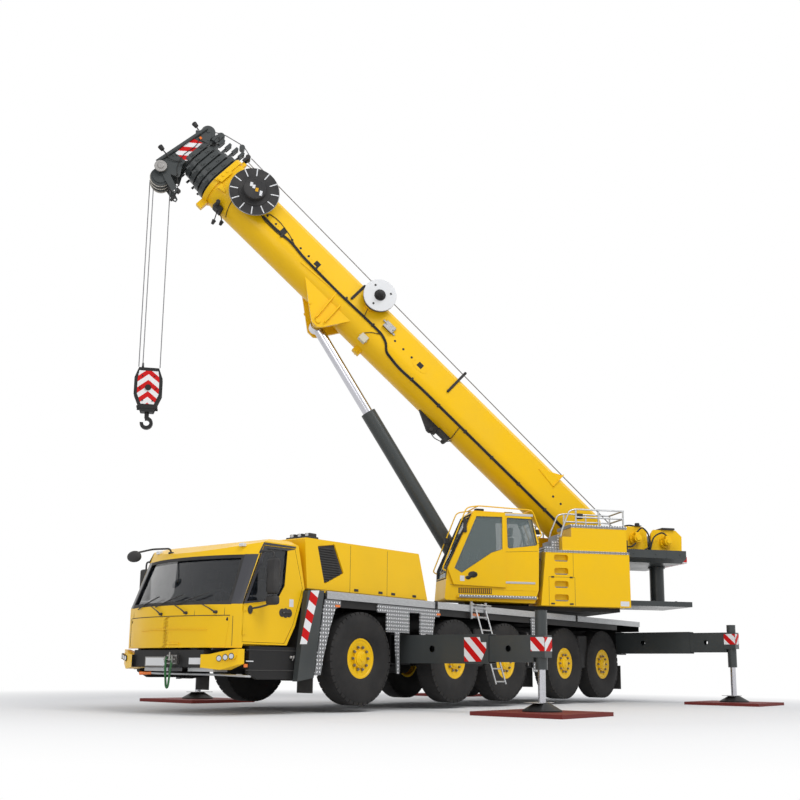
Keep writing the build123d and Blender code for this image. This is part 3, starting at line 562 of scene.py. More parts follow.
def wheel_trim(number, side):
    """Rim flange, hub cap and ten nuts on the outer side."""
    sign = SIDES[side]
    hub = CARRIER @ Matrix.Translation((AXLES[number], sign * WHEEL_Y, HUB_HEIGHT))
    mount = (hub @ Matrix.Diagonal((1, sign, 1, 1)), f"wheel_{number}_{side}")
    bm = bmesh.new()
    for spot in round_places(NUTS, NUT_CIRCLE):
        pin(bm, spot, 0.132, 0.158, 0.023, segments=6)
        pin(bm, spot, 0.150, 0.172, 0.013, segments=10)
    show(bm, f"nuts_{number}_{side}", mount, "steel")
    bm = bmesh.new()
    pin(bm, (0, 0), 0.11, 0.165, 0.118, 0.112, 32)
    pin(bm, (0, 0), 0.165, 0.178, 0.112, 0.085, 32)
    pin(bm, (0, 0), 0.176, 0.186, 0.05, 0.045, 24)
    show(bm, f"hub_cap_{number}_{side}", mount, "yellow")


for number in AXLES:
    for side in SIDES:
        tread_blocks(number, side)
        wheel_trim(number, side)


# ---------- carrier ----------
def striped_columns():
    """Red and white sheets on the slanted columns behind the cab."""
    for side, mount in both_sides(ON_CARRIER):
        bm = bmesh.new()
        side_slab(bm, [(1.194, 1.80), (1.014, 1.812), (1.254, 1.011), (1.395, 1.007)], 1.3585, 0.004)
        show(bm, f"column_sheet_{side}", mount, "stripes_column", smooth=False)


def jack_cap(x, y, top, name, mount):
    """Low bolted cap on the jack tube."""
    bm = bmesh.new()
    rod(bm, (x, y, top), (x, y, top + 0.002), 0.1, 0.097, 24)
    for ahead, aside in round_places(6, 0.075):
        spot = (x + ahead, y + aside)
        rod(bm, (*spot, top + 0.001), (*spot, top + 0.004), 0.012, segments=6)
    show(bm, name, mount, "grey", 0.004)


def float_handle(x, sign, name, mount):
    """Flat grip around a float's jack end."""
    bm = bmesh.new()
    block(bm, around(x, 0.22), y_limits(sign, 3.724, 3.60), (0.186, 0.196))
    for middle in (-0.16, 0.16):
        block(bm, (x + middle - 0.06, x + middle + 0.06), y_limits(sign, 3.70, 3.87), (0.184, 0.195))
    show(bm, name, mount, "aluminium", 0.004)


def outrigger_fittings():
    """Red and white sheets on the outrigger beams, caps on the jack tubes and grips on the floats."""
    for name, (left, right, low, top, tube_top) in OUTRIGGERS.items():
        for side, sign in SIDES.items():
            x = left if sign > 0 else right
            outer, inner = ((CARRIER, f"outrigger_{name}_{side}_{beam}") for beam in ("outer", "inner"))
            for face in (-1, 1):
                if name == "front":
                    outline = [(2.44, top - 0.05), (2.74, top - 0.05), (2.76, top - 0.13), (2.86, top - 0.13),
                               (2.86, top - 0.24), (2.76, low + 0.03), (2.44, low + 0.03)]
                    bm = bmesh.new()
                    slab(bm, [(x + face * 0.1135, sign * y, z) for y, z in outline], (face, 0, 0), 0.003)
                    show(bm, f"beam_sheet_{side}_{'ab'[face > 0]}", outer, f"stripes_{side}", smooth=False)
                bm = bmesh.new()
                block(bm, sorted((x + face * 0.1055, x + face * 0.109)), y_limits(sign, 3.66, 3.9),
                      (low + 0.19, top - 0.06))
                show(bm, f"end_sheet_{name}_{side}_{'ab'[face > 0]}", inner, f"stripes_{side}", smooth=False)
            bm = bmesh.new()
            block(bm, around(x, 0.105), y_limits(sign, 3.9055, 3.909), (low + 0.19, top - 0.06))
            show(bm, f"end_plate_sheet_{name}_{side}", inner, "stripes_side", smooth=False)
            jack_cap(x, sign * JACK_Y, tube_top, f"jack_cap_{name}_{side}", inner)
            float_handle(x, sign, f"float_handle_{name}_{side}", (CARRIER, f"jack_{name}_{side}"))


def deck_rail():
    """Ribs and clamps of the aluminium rail along the deck, and the side markers."""
    for side, mount in both_sides(ON_CARRIER):
        bm = bmesh.new()
        for z in (1.725, 1.752, 1.779):
            block(bm, (-9.94, 0.84), (1.372, 1.3745), (z, z + 0.006))
        show(bm, f"rail_ribs_{side}", mount, "aluminium", smooth=False)
        bm = bmesh.new()
        for x in (-1.92, -6.9):
            block(bm, around(x, 0.03), (1.34, 1.385), (1.685, 1.83))
            pin(bm, (x, 1.76), 1.385, 1.397, 0.018, segments=6)
        show(bm, f"rail_clamps_{side}", mount, "black", 0.004)
        bm = bmesh.new()
        block(bm, (-3.30, -3.0), (1.332, 1.337), (1.62, 1.68))
        for x in (-2.0, -5.5, 0.6):
            block(bm, around(x, 0.05), (1.357, 1.368), (1.585, 1.62))
        show(bm, f"side_markers_{side}", mount, "orange", 0.003)


def boarding_ladder():
    """Slim ladder leaning against the left deck rail."""
    top, foot = Vector((-3.25, 1.37, 1.83)), Vector((-3.35, 1.76, 0.42))
    runs = []
    for aside in (-0.16, 0.16):
        shift = Vector((aside, 0, 0))
        hooks = [top + shift + Vector((0, -0.12, -0.09)), top + shift + Vector((0, -0.08, 0.03)), top + shift,
                 foot + shift]
        runs.append(rounded(hooks, 0.05))
    hose("ladder_stiles", runs, 0.016, ON_CARRIER, "aluminium")
    bm = bmesh.new()
    for step in range(1, 7):
        spot = top.lerp(foot, step / 6.2)
        rod(bm, spot + Vector((-0.16, 0, 0)), spot + Vector((0.16, 0, 0)), 0.013, segments=12)
    show(bm, "ladder_rungs", ON_CARRIER, "aluminium")
    bm = bmesh.new()
    block(bm, (-3.48, -3.02), (1.355, 1.48), (1.815, 1.835))
    block(bm, (-3.48, -3.02), (1.35, 1.366), (1.70, 1.835))
    show(bm, "ladder_bracket", ON_CARRIER, "aluminium", 0.004)


def mudflaps():
    """Black flaps behind the front columns and behind the last wheels."""
    for side, mount in both_sides(ON_CARRIER):
        bm = bmesh.new()
        for x, z in ((1.045, (0.30, 0.62)), (-9.02, (0.28, 0.80))):
            block(bm, (x, x + 0.014), (0.99, 1.31), z)
        show(bm, f"mudflaps_{side}", mount, "rubber", 0.004)


for build in (striped_columns, outrigger_fittings, deck_rail, boarding_ladder, mudflaps):
    build()


# ---------- driver's cab ----------
FRONT_BOW = 2.7713
FRONT_SHIFT = -0.0113
SCREEN_FOOT = 1.52


def cab_lean(z):
    """How far the cab's front lies back at a height."""
    return 0.45 * max(0.0, z - SCREEN_FOOT) / 1.08


def cab_front(y, z, lift=0.0):
    """Place on the cab's bowed front, which leans back above the windscreen's foot."""
    return Vector((FRONT_SHIFT - cab_lean(z) + sqrt(FRONT_BOW ** 2 - y * y) + lift, y, z))


def front_sheet(half, low, high, lift, thickness, edge=0.0, steps=(24, 10)):
    """Sheet that follows the cab's front; with an edge given, only its rim is kept."""
    bm = bmesh.new()
    bmesh.ops.create_grid(bm, x_segments=steps[0], y_segments=steps[1], size=1)
    if edge:
        inner = [face for face in bm.faces if not any(e.is_boundary for e in face.edges)]
        bmesh.ops.delete(bm, geom=inner, context="FACES")

    def narrowed(share, count, width):
        inside = 1 - 2 / count
        if not edge:
            return share
        if abs(share) <= inside + 1e-4:
            return share / inside * (1 - width)
        return share / abs(share) * (1 - (1 - abs(share)) * count / 2 * width)

    for vert in bm.verts:
        u = narrowed(vert.co.x, steps[0], edge / half[0])
        v = narrowed(vert.co.y, steps[1], 2 * edge / (high - low))
        share = (v + 1) / 2
        width = half[0] + (half[1] - half[0]) * share
        vert.co = cab_front(u * width, low + (high - low) * share, lift)
    bmesh.ops.solidify(bm, geom=bm.faces[:], thickness=thickness)
    return bm


def cab_windscreen():
    """Bowed windscreen with its black rubber edge, and the dark band below it."""
    bm = front_sheet((1.12, 1.06), 1.535, 2.265, -0.03, 0.008)
    show(bm, "windscreen_pane", ON_CARRIER, "glass")
    bm = front_sheet((1.108, 1.052), 1.537, 2.258, 0.003, 0.01, edge=0.045)
    show(bm, "windscreen_rubber", ON_CARRIER, "rubber", 0.003)
    bm = front_sheet((1.10, 1.08), 1.30, 1.535, -0.075, 0.02)
    show(bm, "dashboard_front", ON_CARRIER, "lining")


def cab_hood():
    """Pressed flap under the windscreen with its fold, grip and seams."""
    bm = front_sheet((1.045, 1.10), 0.945, 1.37, 0.002, 0.014, steps=(24, 8))
    show(bm, "hood_flap", ON_CARRIER, "yellow", 0.005)
    bm = bmesh.new()
    fold = [cab_front(-0.62 + 0.1 * step, 1.178 + 0.01 * sin(step / 14 * pi), 0.014) for step in range(15)]
    chain(bm, fold, 0.006)
    chain(bm, [cab_front(y, 0.985, 0.013) for y in (0.08, 0.13, 0.25, 0.30)], 0.012)
    show(bm, "hood_fold", ON_CARRIER, "yellow")
    bm = bmesh.new()
    for y, low, high in ((0.55, 1.38, 1.535), (-1.02, 1.38, 1.535), (1.02, 1.38, 1.535), (-1.14, 0.955, 1.37),
                         (1.14, 0.955, 1.37)):
        rod(bm, cab_front(y, low), cab_front(y, high), 0.003, segments=6)
    chain(bm, [cab_front(-1.10 + 0.11 * step, 1.376, 0.001) for step in range(21)], 0.005, 6)
    show(bm, "hood_seams", ON_CARRIER, "rubber")


def cab_wipers():
    """Three wipers: pivot boss, bent arm, blade carrier and rubber."""
    places = (((-0.111, 1.41), (-0.52, 1.585)), ((0.406, 1.417), (0.02, 1.60)),
              ((0.898, 1.423), (0.47, 1.62)))
    for number, (base, tip) in enumerate(places):
        bm = bmesh.new()
        foot = cab_front(*base, 0.03)
        elbow = cab_front(base[0] * 0.85 + tip[0] * 0.15, base[1] + 0.05, 0.05)
        top = cab_front(*tip, 0.035)
        rod(bm, cab_front(*base, -0.01), cab_front(*base, 0.045), 0.024, 0.018, 16)
        rod(bm, foot, elbow, 0.011, 0.009, 10)
        rod(bm, elbow, top, 0.008, 0.005, 10)
        half = Vector((0, 0.27, 0.085))
        blade = [cab_front(*(top + half * t).yz, 0.022) for t in (-1, -0.5, 0, 0.5, 1)]
        chain(bm, blade, 0.009)
        for t in (-0.5, 0.5):
            rod(bm, top, cab_front(*(top + half * t).yz, 0.024), 0.005, segments=8)
        show(bm, f"wiper_{number}", ON_CARRIER, "plastic")


def cab_pillars():
    """Dark pillars beside the windscreen, and the dark strips over and around the door windows."""
    for side, sign in SIDES.items():
        bm = bmesh.new()
        bmesh.ops.create_grid(bm, x_segments=7, y_segments=9, size=1)
        for vert in bm.verts:
            column = round((vert.co.x + 1) * 3.5)
            z = 1.54 + 0.72 * (vert.co.y + 1) / 2
            corner = 2.46 - 0.45 * (z - SCREEN_FOOT) / 1.08
            door = 2.43 - 0.355 * (z - 1.53) / 0.86
            if column < 5:
                y = 1.105 - 0.055 * (z - 1.54) / 0.71 + (0, 0.035, 0.07, 0.10, 0.128)[column]
                spot = cab_front(y, z, 0.004)
            else:
                spot = Vector(((corner - 0.004, (corner + door) / 2, door + 0.006)[column - 5], 1.2545, z))
            vert.co = (spot.x, sign * spot.y, spot.z)
        bmesh.ops.solidify(bm, geom=bm.faces[:], thickness=0.003)
        show(bm, f"cab_pillar_{side}", ON_CARRIER, "trim")
        bm = bmesh.new()
        side_slab(bm, [(2.14, 2.26), (2.078, 2.397), (1.435, 2.407), (1.425, 2.436), (2.08, 2.436),
                       (2.17, 2.28)], sign * DOOR_FACE, sign * 0.005)
        show(bm, f"roof_strip_{side}", ON_CARRIER, "trim", 0.002)
        bm = bmesh.new()
        window = [(2.425, 1.538), (2.073, 2.384), (1.447, 2.394), (1.60, 2.36), (2.02, 2.35), (2.37, 1.575),
                  (1.785, 1.645), (1.785, 1.625)]
        side_slab(bm, window, sign * DOOR_FACE, sign * 0.004)
        show(bm, f"door_frame_{side}", (CARRIER, f"cab_door_{side}"), "trim", 0.001)


DOOR_WINDOW = [(1.64, 1.84), (1.74, 1.69), (1.785, 1.645), (2.37, 1.575), (2.02, 2.35), (1.60, 2.36)]


def cab_door_fittings():
    """Door glass, rubber, handle, blank plate, creases and mirrors."""
    for side, mount in both_sides(ON_CARRIER):
        door = (mount[0], f"cab_door_{side}")
        bm = bmesh.new()
        side_slab(bm, DOOR_WINDOW, 1.222, 0.006)
        show(bm, f"door_glass_{side}", door, "glass", smooth=False)
        bm = side_ring(DOOR_WINDOW, 1.218, 0.035, 0.022)
        show(bm, f"door_rubber_{side}", door, "rubber")
        bm = bmesh.new()
        ball(bm, (1.60, 1.25, 1.45), 0.125, (1.0, 0.12, 0.42))
        for x in (1.53, 1.60, 1.67):
            ball(bm, (x, 1.252, 1.45), 0.068, (0.9, 0.2, 1.05 if x == 1.60 else 0.9))
        rod(bm, (1.52, 1.27, 1.452), (1.685, 1.27, 1.452), 0.013, segments=12)
        show(bm, f"door_handle_{side}", door, "plastic")
        bm = bmesh.new()
        pin(bm, (1.665, 1.45), 1.262, 1.285, 0.008, segments=12)
        show(bm, f"door_lock_{side}", door, "steel")
        bm = bmesh.new()
        side_slab(bm, [(1.53, 1.545), (1.445, 1.545), (1.447, 1.655), (1.53, 1.655)], DOOR_FACE, 0.002)
        show(bm, f"door_plate_{side}", door, "white", smooth=False)
        # The crease ridges are drawn in a darker yellow: painted shade along the pressed creases.
        bm = bmesh.new()
        for start, end in (((2.42, 1.525), (1.80, 1.60)), ((1.62, 1.02), (1.46, 1.27))):
            rod(bm, (start[0], BODY_FACE, start[1]), (end[0], BODY_FACE, end[1]), 0.003, segments=6)
        show(bm, f"door_crease_{side}", door, "amber_and_shade_yellow")
        housing = bmesh.new()
        for low, high, wide in ((1.69, 2.19, 0.095), (1.535, 1.665, 0.10)):
            block(housing, (2.009, 2.119), (1.45 - wide, 1.45 + wide), (low, high))
        show(housing, f"mirror_housing_{side}", door, "plastic", 0.035)
        glass = bmesh.new()
        for low, high in ((1.715, 2.165), (1.555, 1.645)):
            block(glass, (2.005, 2.010), (1.38, 1.52), (low, high))
        show(glass, f"mirror_glass_{side}", door, "mirror", 0.002)
        arm = rounded([(2.11, 1.245, 2.30), (2.09, 1.32, 2.302), (2.064, 1.45, 2.30), (2.064, 1.45, 2.15)],
                      0.06)
        low = rounded([(2.30, 1.25, 1.475), (2.20, 1.34, 1.50), (2.064, 1.45, 1.56)], 0.05)
        hose(f"mirror_arms_{side}", [arm, low], 0.014, door, "plastic")
        bm = bmesh.new()
        ball(bm, (2.30, 1.256, 1.462), 0.055, (0.8, 0.35, 1.1))
        ball(bm, (2.11, 1.252, 2.30), 0.03, (1.2, 0.5, 0.8))
        show(bm, f"mirror_feet_{side}", door, "plastic")


def cab_roof():
    """Front mirror on its arm, and the marker lamps on the roof."""
    hose("front_mirror_arm", rounded([(2.333, -0.496, 2.35), (2.36, -0.50, 2.43), (2.62, -0.58, 2.40),
                                      (2.88, -0.65, 2.32)], 0.06), 0.014, ON_CARRIER, "plastic")
    bm = bmesh.new()
    ball(bm, (2.89, -0.66, 2.27), 0.155, (0.38, 1.0, 0.55))
    ball(bm, (2.333, -0.496, 2.362), 0.045, (1.3, 0.8, 0.5))
    show(bm, "front_mirror_shell", ON_CARRIER, "plastic")
    bm = bmesh.new()
    ball(bm, (2.875, -0.66, 2.260), 0.142, (0.38, 1.0, 0.53))
    show(bm, "front_mirror_glass", ON_CARRIER, "mirror")
    bm = bmesh.new()
    for y in (-0.9, 0.98):
        block(bm, (2.205, 2.275), around(y, 0.045), (2.375, 2.425))
    show(bm, "roof_markers", ON_CARRIER, "lamp", 0.008)


def seat(name, mount, base, back, head, hinge, lean):
    """Seat of three rounded cushions, with its back and headrest leaning about a hinge."""
    bm = bmesh.new()
    block(bm, *base)
    upright = block(bm, *back) + block(bm, *head)
    bmesh.ops.rotate(bm, verts=upright, cent=hinge, matrix=Matrix.Rotation(-lean, 3, "Y"))
    soft = show(bm, name, mount, "seat_cloth", 0.04).modifiers.new("padding", "SUBSURF")
    soft.levels = soft.render_levels = 1


def cab_inside():
    """Seats, steering wheel and dashboard behind the windscreen."""
    for name, y in (("driver", 0.55), ("mate", -0.55)):
        seat(f"seat_{name}", ON_CARRIER, ((1.52, 1.98), around(y, 0.25), (1.26, 1.40)),
             ((1.42, 1.54), around(y, 0.24), (1.38, 1.98)), ((1.43, 1.53), around(y, 0.14), (2.0, 2.18)),
             (1.5, y, 1.4), 0.06)
    bm = bmesh.new()
    side_slab(bm, [(2.56, 1.30), (2.52, 1.52), (2.22, 1.50), (2.12, 1.36), (2.15, 1.15)], -1.08, 2.16)
    show(bm, "dashboard", ON_CARRIER, "lining", 0.02)
    bm = bmesh.new()
    wire_ring(bm, (0.21, 0, 0), 0.016, (0, 0, 1), 12, 32)
    for angle in (0.4, 2.74, 4.71):
        rod(bm, (0, 0, -0.02), (0.21 * cos(angle), 0.21 * sin(angle), 0), 0.014, segments=8)
    rod(bm, (0, 0, -0.06), (0, 0, 0.0), 0.05, 0.04, 16)
    column = Matrix.Rotation(radians(-62), 4, "Y") @ Matrix.Rotation(pi / 2, 4, "Z")
    bmesh.ops.transform(bm, matrix=Matrix.Translation((2.16, 0.55, 1.58)) @ column, verts=bm.verts)
    show(bm, "steering_wheel", ON_CARRIER, "plastic")


def bumper_fittings():
    """Lamps, skirt trim, blank plates, tow jaw with its green sling, and the folded step under the bumper."""
    for side, mount in both_sides(ON_CARRIER):
        glass, shell = bmesh.new(), bmesh.new()
        for x, y, z in ((2.643, 1.04, 0.783), (2.610, 1.13, 0.798), (2.578, 1.216, 0.814)):
            out = Vector((cos(radians(20)), sin(radians(20)), 0))
            centre = Vector((x - 0.008, y, z))
            rod(shell, centre, centre + out * 0.022, 0.046, 0.043, 24)
            rod(glass, centre + out * 0.014, centre + out * 0.026, 0.036, 0.032, 24)
        show(shell, f"lamp_bezels_{side}", mount, "plastic", 0.002)
        show(glass, f"lamp_glasses_{side}", mount, "lamp")
        bm = bmesh.new()
        block(bm, (2.31, 2.38), (1.2465, 1.256), (0.665, 0.712))
        show(bm, f"front_marker_{side}", mount, "orange", 0.004)
        bm = bmesh.new()
        block(bm, (2.20, 2.34), (1.2465, 1.251), (0.742, 0.758))
        show(bm, f"front_reflector_{side}", mount, "white", 0.002)
        bm = bmesh.new()
        for x in (1.42, 1.47):
            ball(bm, (x, 1.255, 0.815), 0.025)
        rod(bm, (1.42, 1.27, 0.84), (1.45, 1.27, 0.77), 0.009, segments=8)
        show(bm, f"skirt_valve_{side}", mount, "steel")
        bm = bmesh.new()
        for z in (0.62, 0.90):
            block(bm, (1.36, 2.34), (1.2465, 1.252), (z, z + 0.014))
        show(bm, f"skirt_ribs_{side}", mount, "plastic", 0.003)
    for name, y, z in (("number_plate", (-0.49, -0.03), (0.68, 0.79)),
                       ("front_sign", (0.475, 0.72), (0.70, 0.79))):
        bm = bmesh.new()
        block(bm, (2.701, 2.706), y, z)
        show(bm, name, ON_CARRIER, "white", 0.002)
    bm = bmesh.new()
    block(bm, (2.701, 2.703), (-0.51, -0.01), (0.665, 0.805))
    block(bm, (2.70, 2.74), (0.03, 0.25), (0.70, 0.83))
    for y in (0.06, 0.22):
        block(bm, (2.73, 2.80), around(y, 0.012), (0.72, 0.81))
    pin(bm, (2.775, 0.765), 0.02, 0.27, 0.014, segments=12)
    rod(bm, (2.775, 0.14, 0.75), (2.775, 0.14, 0.87), 0.02, 0.012, 12)
    show(bm, "tow_jaw", ON_CARRIER, "steel", 0.004)
    loop = [(2.775, 0.09, 0.80), (2.785, 0.07, 0.77), (2.80, 0.085, 0.62), (2.80, 0.115, 0.40),
            (2.80, 0.14, 0.365), (2.80, 0.165, 0.40), (2.80, 0.195, 0.62), (2.785, 0.21, 0.77),
            (2.775, 0.19, 0.80)]
    hose("tow_sling", rounded(loop, 0.04), 0.016, ON_CARRIER, "webbing")
    step = rounded([(2.62, -0.45, 0.57), (2.60, -0.30, 0.565), (2.50, 0.9, 0.56), (2.42, 1.36, 0.545),
                    (2.36, 1.38, 0.54), (2.34, 1.30, 0.545), (2.42, 0.9, 0.56), (2.50, -0.30, 0.565),
                    (2.60, -0.45, 0.57)], 0.05)
    hose("folded_step", step, 0.016, ON_CARRIER, "aluminium")
    bm = bmesh.new()
    for y in (-0.2, 0.1, 0.4, 0.7, 1.0, 1.2):
        rod(bm, (2.58 - 0.10 * y, y, 0.563), (2.48 - 0.10 * y, y, 0.563), 0.012, segments=10)
    block(bm, (2.36, 2.62), (-0.62, -0.08), (0.60, 0.655))
    block(bm, (2.36, 2.62), (0.36, 0.90), (0.60, 0.655))
    show(bm, "step_rungs", ON_CARRIER, "aluminium", 0.003)
    bm = bmesh.new()
    rod(bm, (2.62, -0.45, 0.57), (2.72, -0.60, 0.565), 0.02, 0.026, 14)
    show(bm, "step_handle", ON_CARRIER, "orange", 0.004)


def housing_fittings():
    """Louvres, seams and catches of the engine housing, and the work lamps on it."""
    for side, mount in both_sides(ON_CARRIER):
        bm = bmesh.new()
        side_slab(bm, [(0.95, 2.49), (0.58, 2.55), (0.36, 2.13), (0.79, 1.94)], 1.226, 0.003)
        for step in range(14):
            z = 1.99 + step * 0.038
            front = 0.955 - (2.50 - z) * 0.30
            rear = 0.39 + (z - 2.13) * 0.52 if z > 2.13 else 0.79 - (z - 1.93) * 2.1
            slat = block(bm, (rear, front), (1.229, 1.246), (z, z + 0.008))
            for vert in slat:
                if abs(vert.co.y) > 1.24:
                    vert.co.z -= 0.018
        show(bm, f"housing_louvres_{side}", mount, "plastic", smooth=False)
        bm = bmesh.new()
        for x in (0.20, -0.72):
            block(bm, around(x, 0.003), (BODY_FACE, 1.2515), (1.82, 2.58))
        block(bm, (-1.75, 1.18), (BODY_FACE, 1.2515), (1.835, 1.841))
        show(bm, f"housing_seams_{side}", mount, "rubber", smooth=False)
        bm = bmesh.new()
        for x in (0.05, -0.55, -0.88, -1.45):
            block(bm, around(x, 0.05), (BODY_FACE, 1.2575), (1.865, 1.905))
        show(bm, f"housing_catches_{side}", mount, "plastic", 0.005)
    bm = bmesh.new()
    block(bm, (0.78, 1.02), (0.62, 1.10), (2.618, 2.66))
    for y in (0.70, 0.86, 1.02):
        block(bm, (0.80, 0.96), around(y, 0.055), (2.655, 2.715))
    show(bm, "work_lamps", ON_CARRIER, "plastic", 0.012)
    bm = bmesh.new()
    for y in (0.70, 0.86, 1.02):
        rod(bm, (0.955, y, 2.685), (0.967, y, 2.685), 0.032, segments=20)
    show(bm, "work_lamp_glasses", ON_CARRIER, "lamp")


def underbody():
    """Boxes and pipes between the wheels, rear lamps and the blank rear plate."""
    for side, sign in SIDES.items():
        bm = bmesh.new()
        for x in ((-5.62, -5.02), (-3.53, -3.19), (-7.48, -7.08)):
            block(bm, x, y_limits(sign, 0.55, 1.30), (0.72, 1.42))
        block(bm, (-1.72, -0.98 if sign > 0 else -1.32), y_limits(sign, 0.55, 0.78), (0.62, 0.74))
        show(bm, f"side_boxes_{side}", ON_CARRIER, "black", 0.03)
        bm = bmesh.new()
        for x in (-5.60, -5.32, -5.04):
            block(bm, around(x, 0.012), y_limits(sign, 1.30, 1.306), (0.76, 1.38))
        block(bm, (-5.40, -5.24), y_limits(sign, 1.30, 1.315), (1.25, 1.29))
        show(bm, f"side_box_catches_{side}", ON_CARRIER, "steel", 0.004)
        pipes = [[(-9.0, sign * y, z), (-1.68, sign * y, z)] for y, z in ((0.62, 0.98), (0.66, 1.03))]
        hose(f"brake_pipes_{side}", pipes, 0.012, ON_CARRIER)
    bm = bmesh.new()
    for sign in SIDES.values():
        for row in range(3):
            block(bm, (-10.02, -10.0), y_limits(sign, 0.78 + 0.15 * row, 0.91 + 0.15 * row), (1.30, 1.42))
    show(bm, "rear_lamps", ON_CARRIER, "red", 0.008)
    bm = bmesh.new()
    block(bm, (-10.02, -10.0), (-0.42, 0.42), (1.44, 1.56))
    show(bm, "rear_plate", ON_CARRIER, "white", 0.003)


for build in (cab_windscreen, cab_hood, cab_wipers, cab_pillars, cab_door_fittings, cab_roof, cab_inside,
              bumper_fittings, housing_fittings, underbody):
    build()


# ---------- superstructure ----------
CRANE_DOOR_WINDOW = [(0.37, 3.07), (0.60, 2.99), (1.22, 2.57), (1.37, 2.66), (0.91, 3.72), (0.37, 3.725)]
CRANE_REAR_WINDOW = [(0.24, 3.09), (-0.395, 3.18), (-0.28, 3.715), (0.26, 3.725)]


def crane_cab_glazing():
    """Panes and rubbers of the crane cab."""
    bm = bmesh.new()
    side_slab(bm, CRANE_DOOR_WINDOW, 1.314, 0.006)
    show(bm, "crane_door_glass", ON_CRANE_DOOR, "clear_glass", smooth=False)
    bm = side_ring(CRANE_DOOR_WINDOW, 1.306, 0.034, 0.028)
    show(bm, "crane_door_rubber", ON_CRANE_DOOR, "rubber")
    for name, y in (("left", 1.262), ("right", 0.512)):
        bm = bmesh.new()
        side_slab(bm, CRANE_REAR_WINDOW, y, 0.006)
        show(bm, f"crane_side_glass_{name}", ON_CRANE_CAB, "clear_glass", smooth=False)
        bm = side_ring(CRANE_REAR_WINDOW, y - 0.018, 0.048, 0.03)
        show(bm, f"crane_side_rubber_{name}", ON_CRANE_CAB, "rubber")
    bm = bmesh.new()
    for low, high in (((1.498, 2.46), (1.483, 2.65)), ((1.483, 2.65), (0.985, 3.745))):
        slab(bm, [(low[0], 0.55, low[1]), (low[0], 1.24, low[1]), (high[0], 1.24, high[1]),
                  (high[0], 0.55, high[1])], (1, 0, 0.3), 0.006)
    slab(bm, [(-0.238, 0.59, 3.66), (-0.238, 1.20, 3.66), (-0.40, 1.20, 3.14), (-0.40, 0.59, 3.14)],
         (-1, 0, 0), 0.006)
    show(bm, "crane_front_glass", ON_CRANE_CAB, "clear_glass", smooth=False)
    runs = [rounded([(1.515, y, 2.45), (1.512, y, 2.655), (1.008, y, 3.765)], 0.05)
            for y in (0.515, 0.555, 1.235, 1.275)]
    hose("crane_front_edges", runs, 0.014, ON_CRANE_CAB, "rubber")
    bm = bmesh.new()
    for x, z in ((1.515, 2.455), (1.01, 3.76)):
        pin(bm, (x, z), 0.52, 1.27, 0.018, segments=10)
    rod(bm, (1.40, 0.93, 2.86), (1.10, 1.08, 3.52), 0.012, segments=8)
    rod(bm, (1.53, 0.90, 2.60), (1.40, 0.93, 2.87), 0.012, segments=8)
    show(bm, "crane_wiper", ON_CRANE_CAB, "plastic")


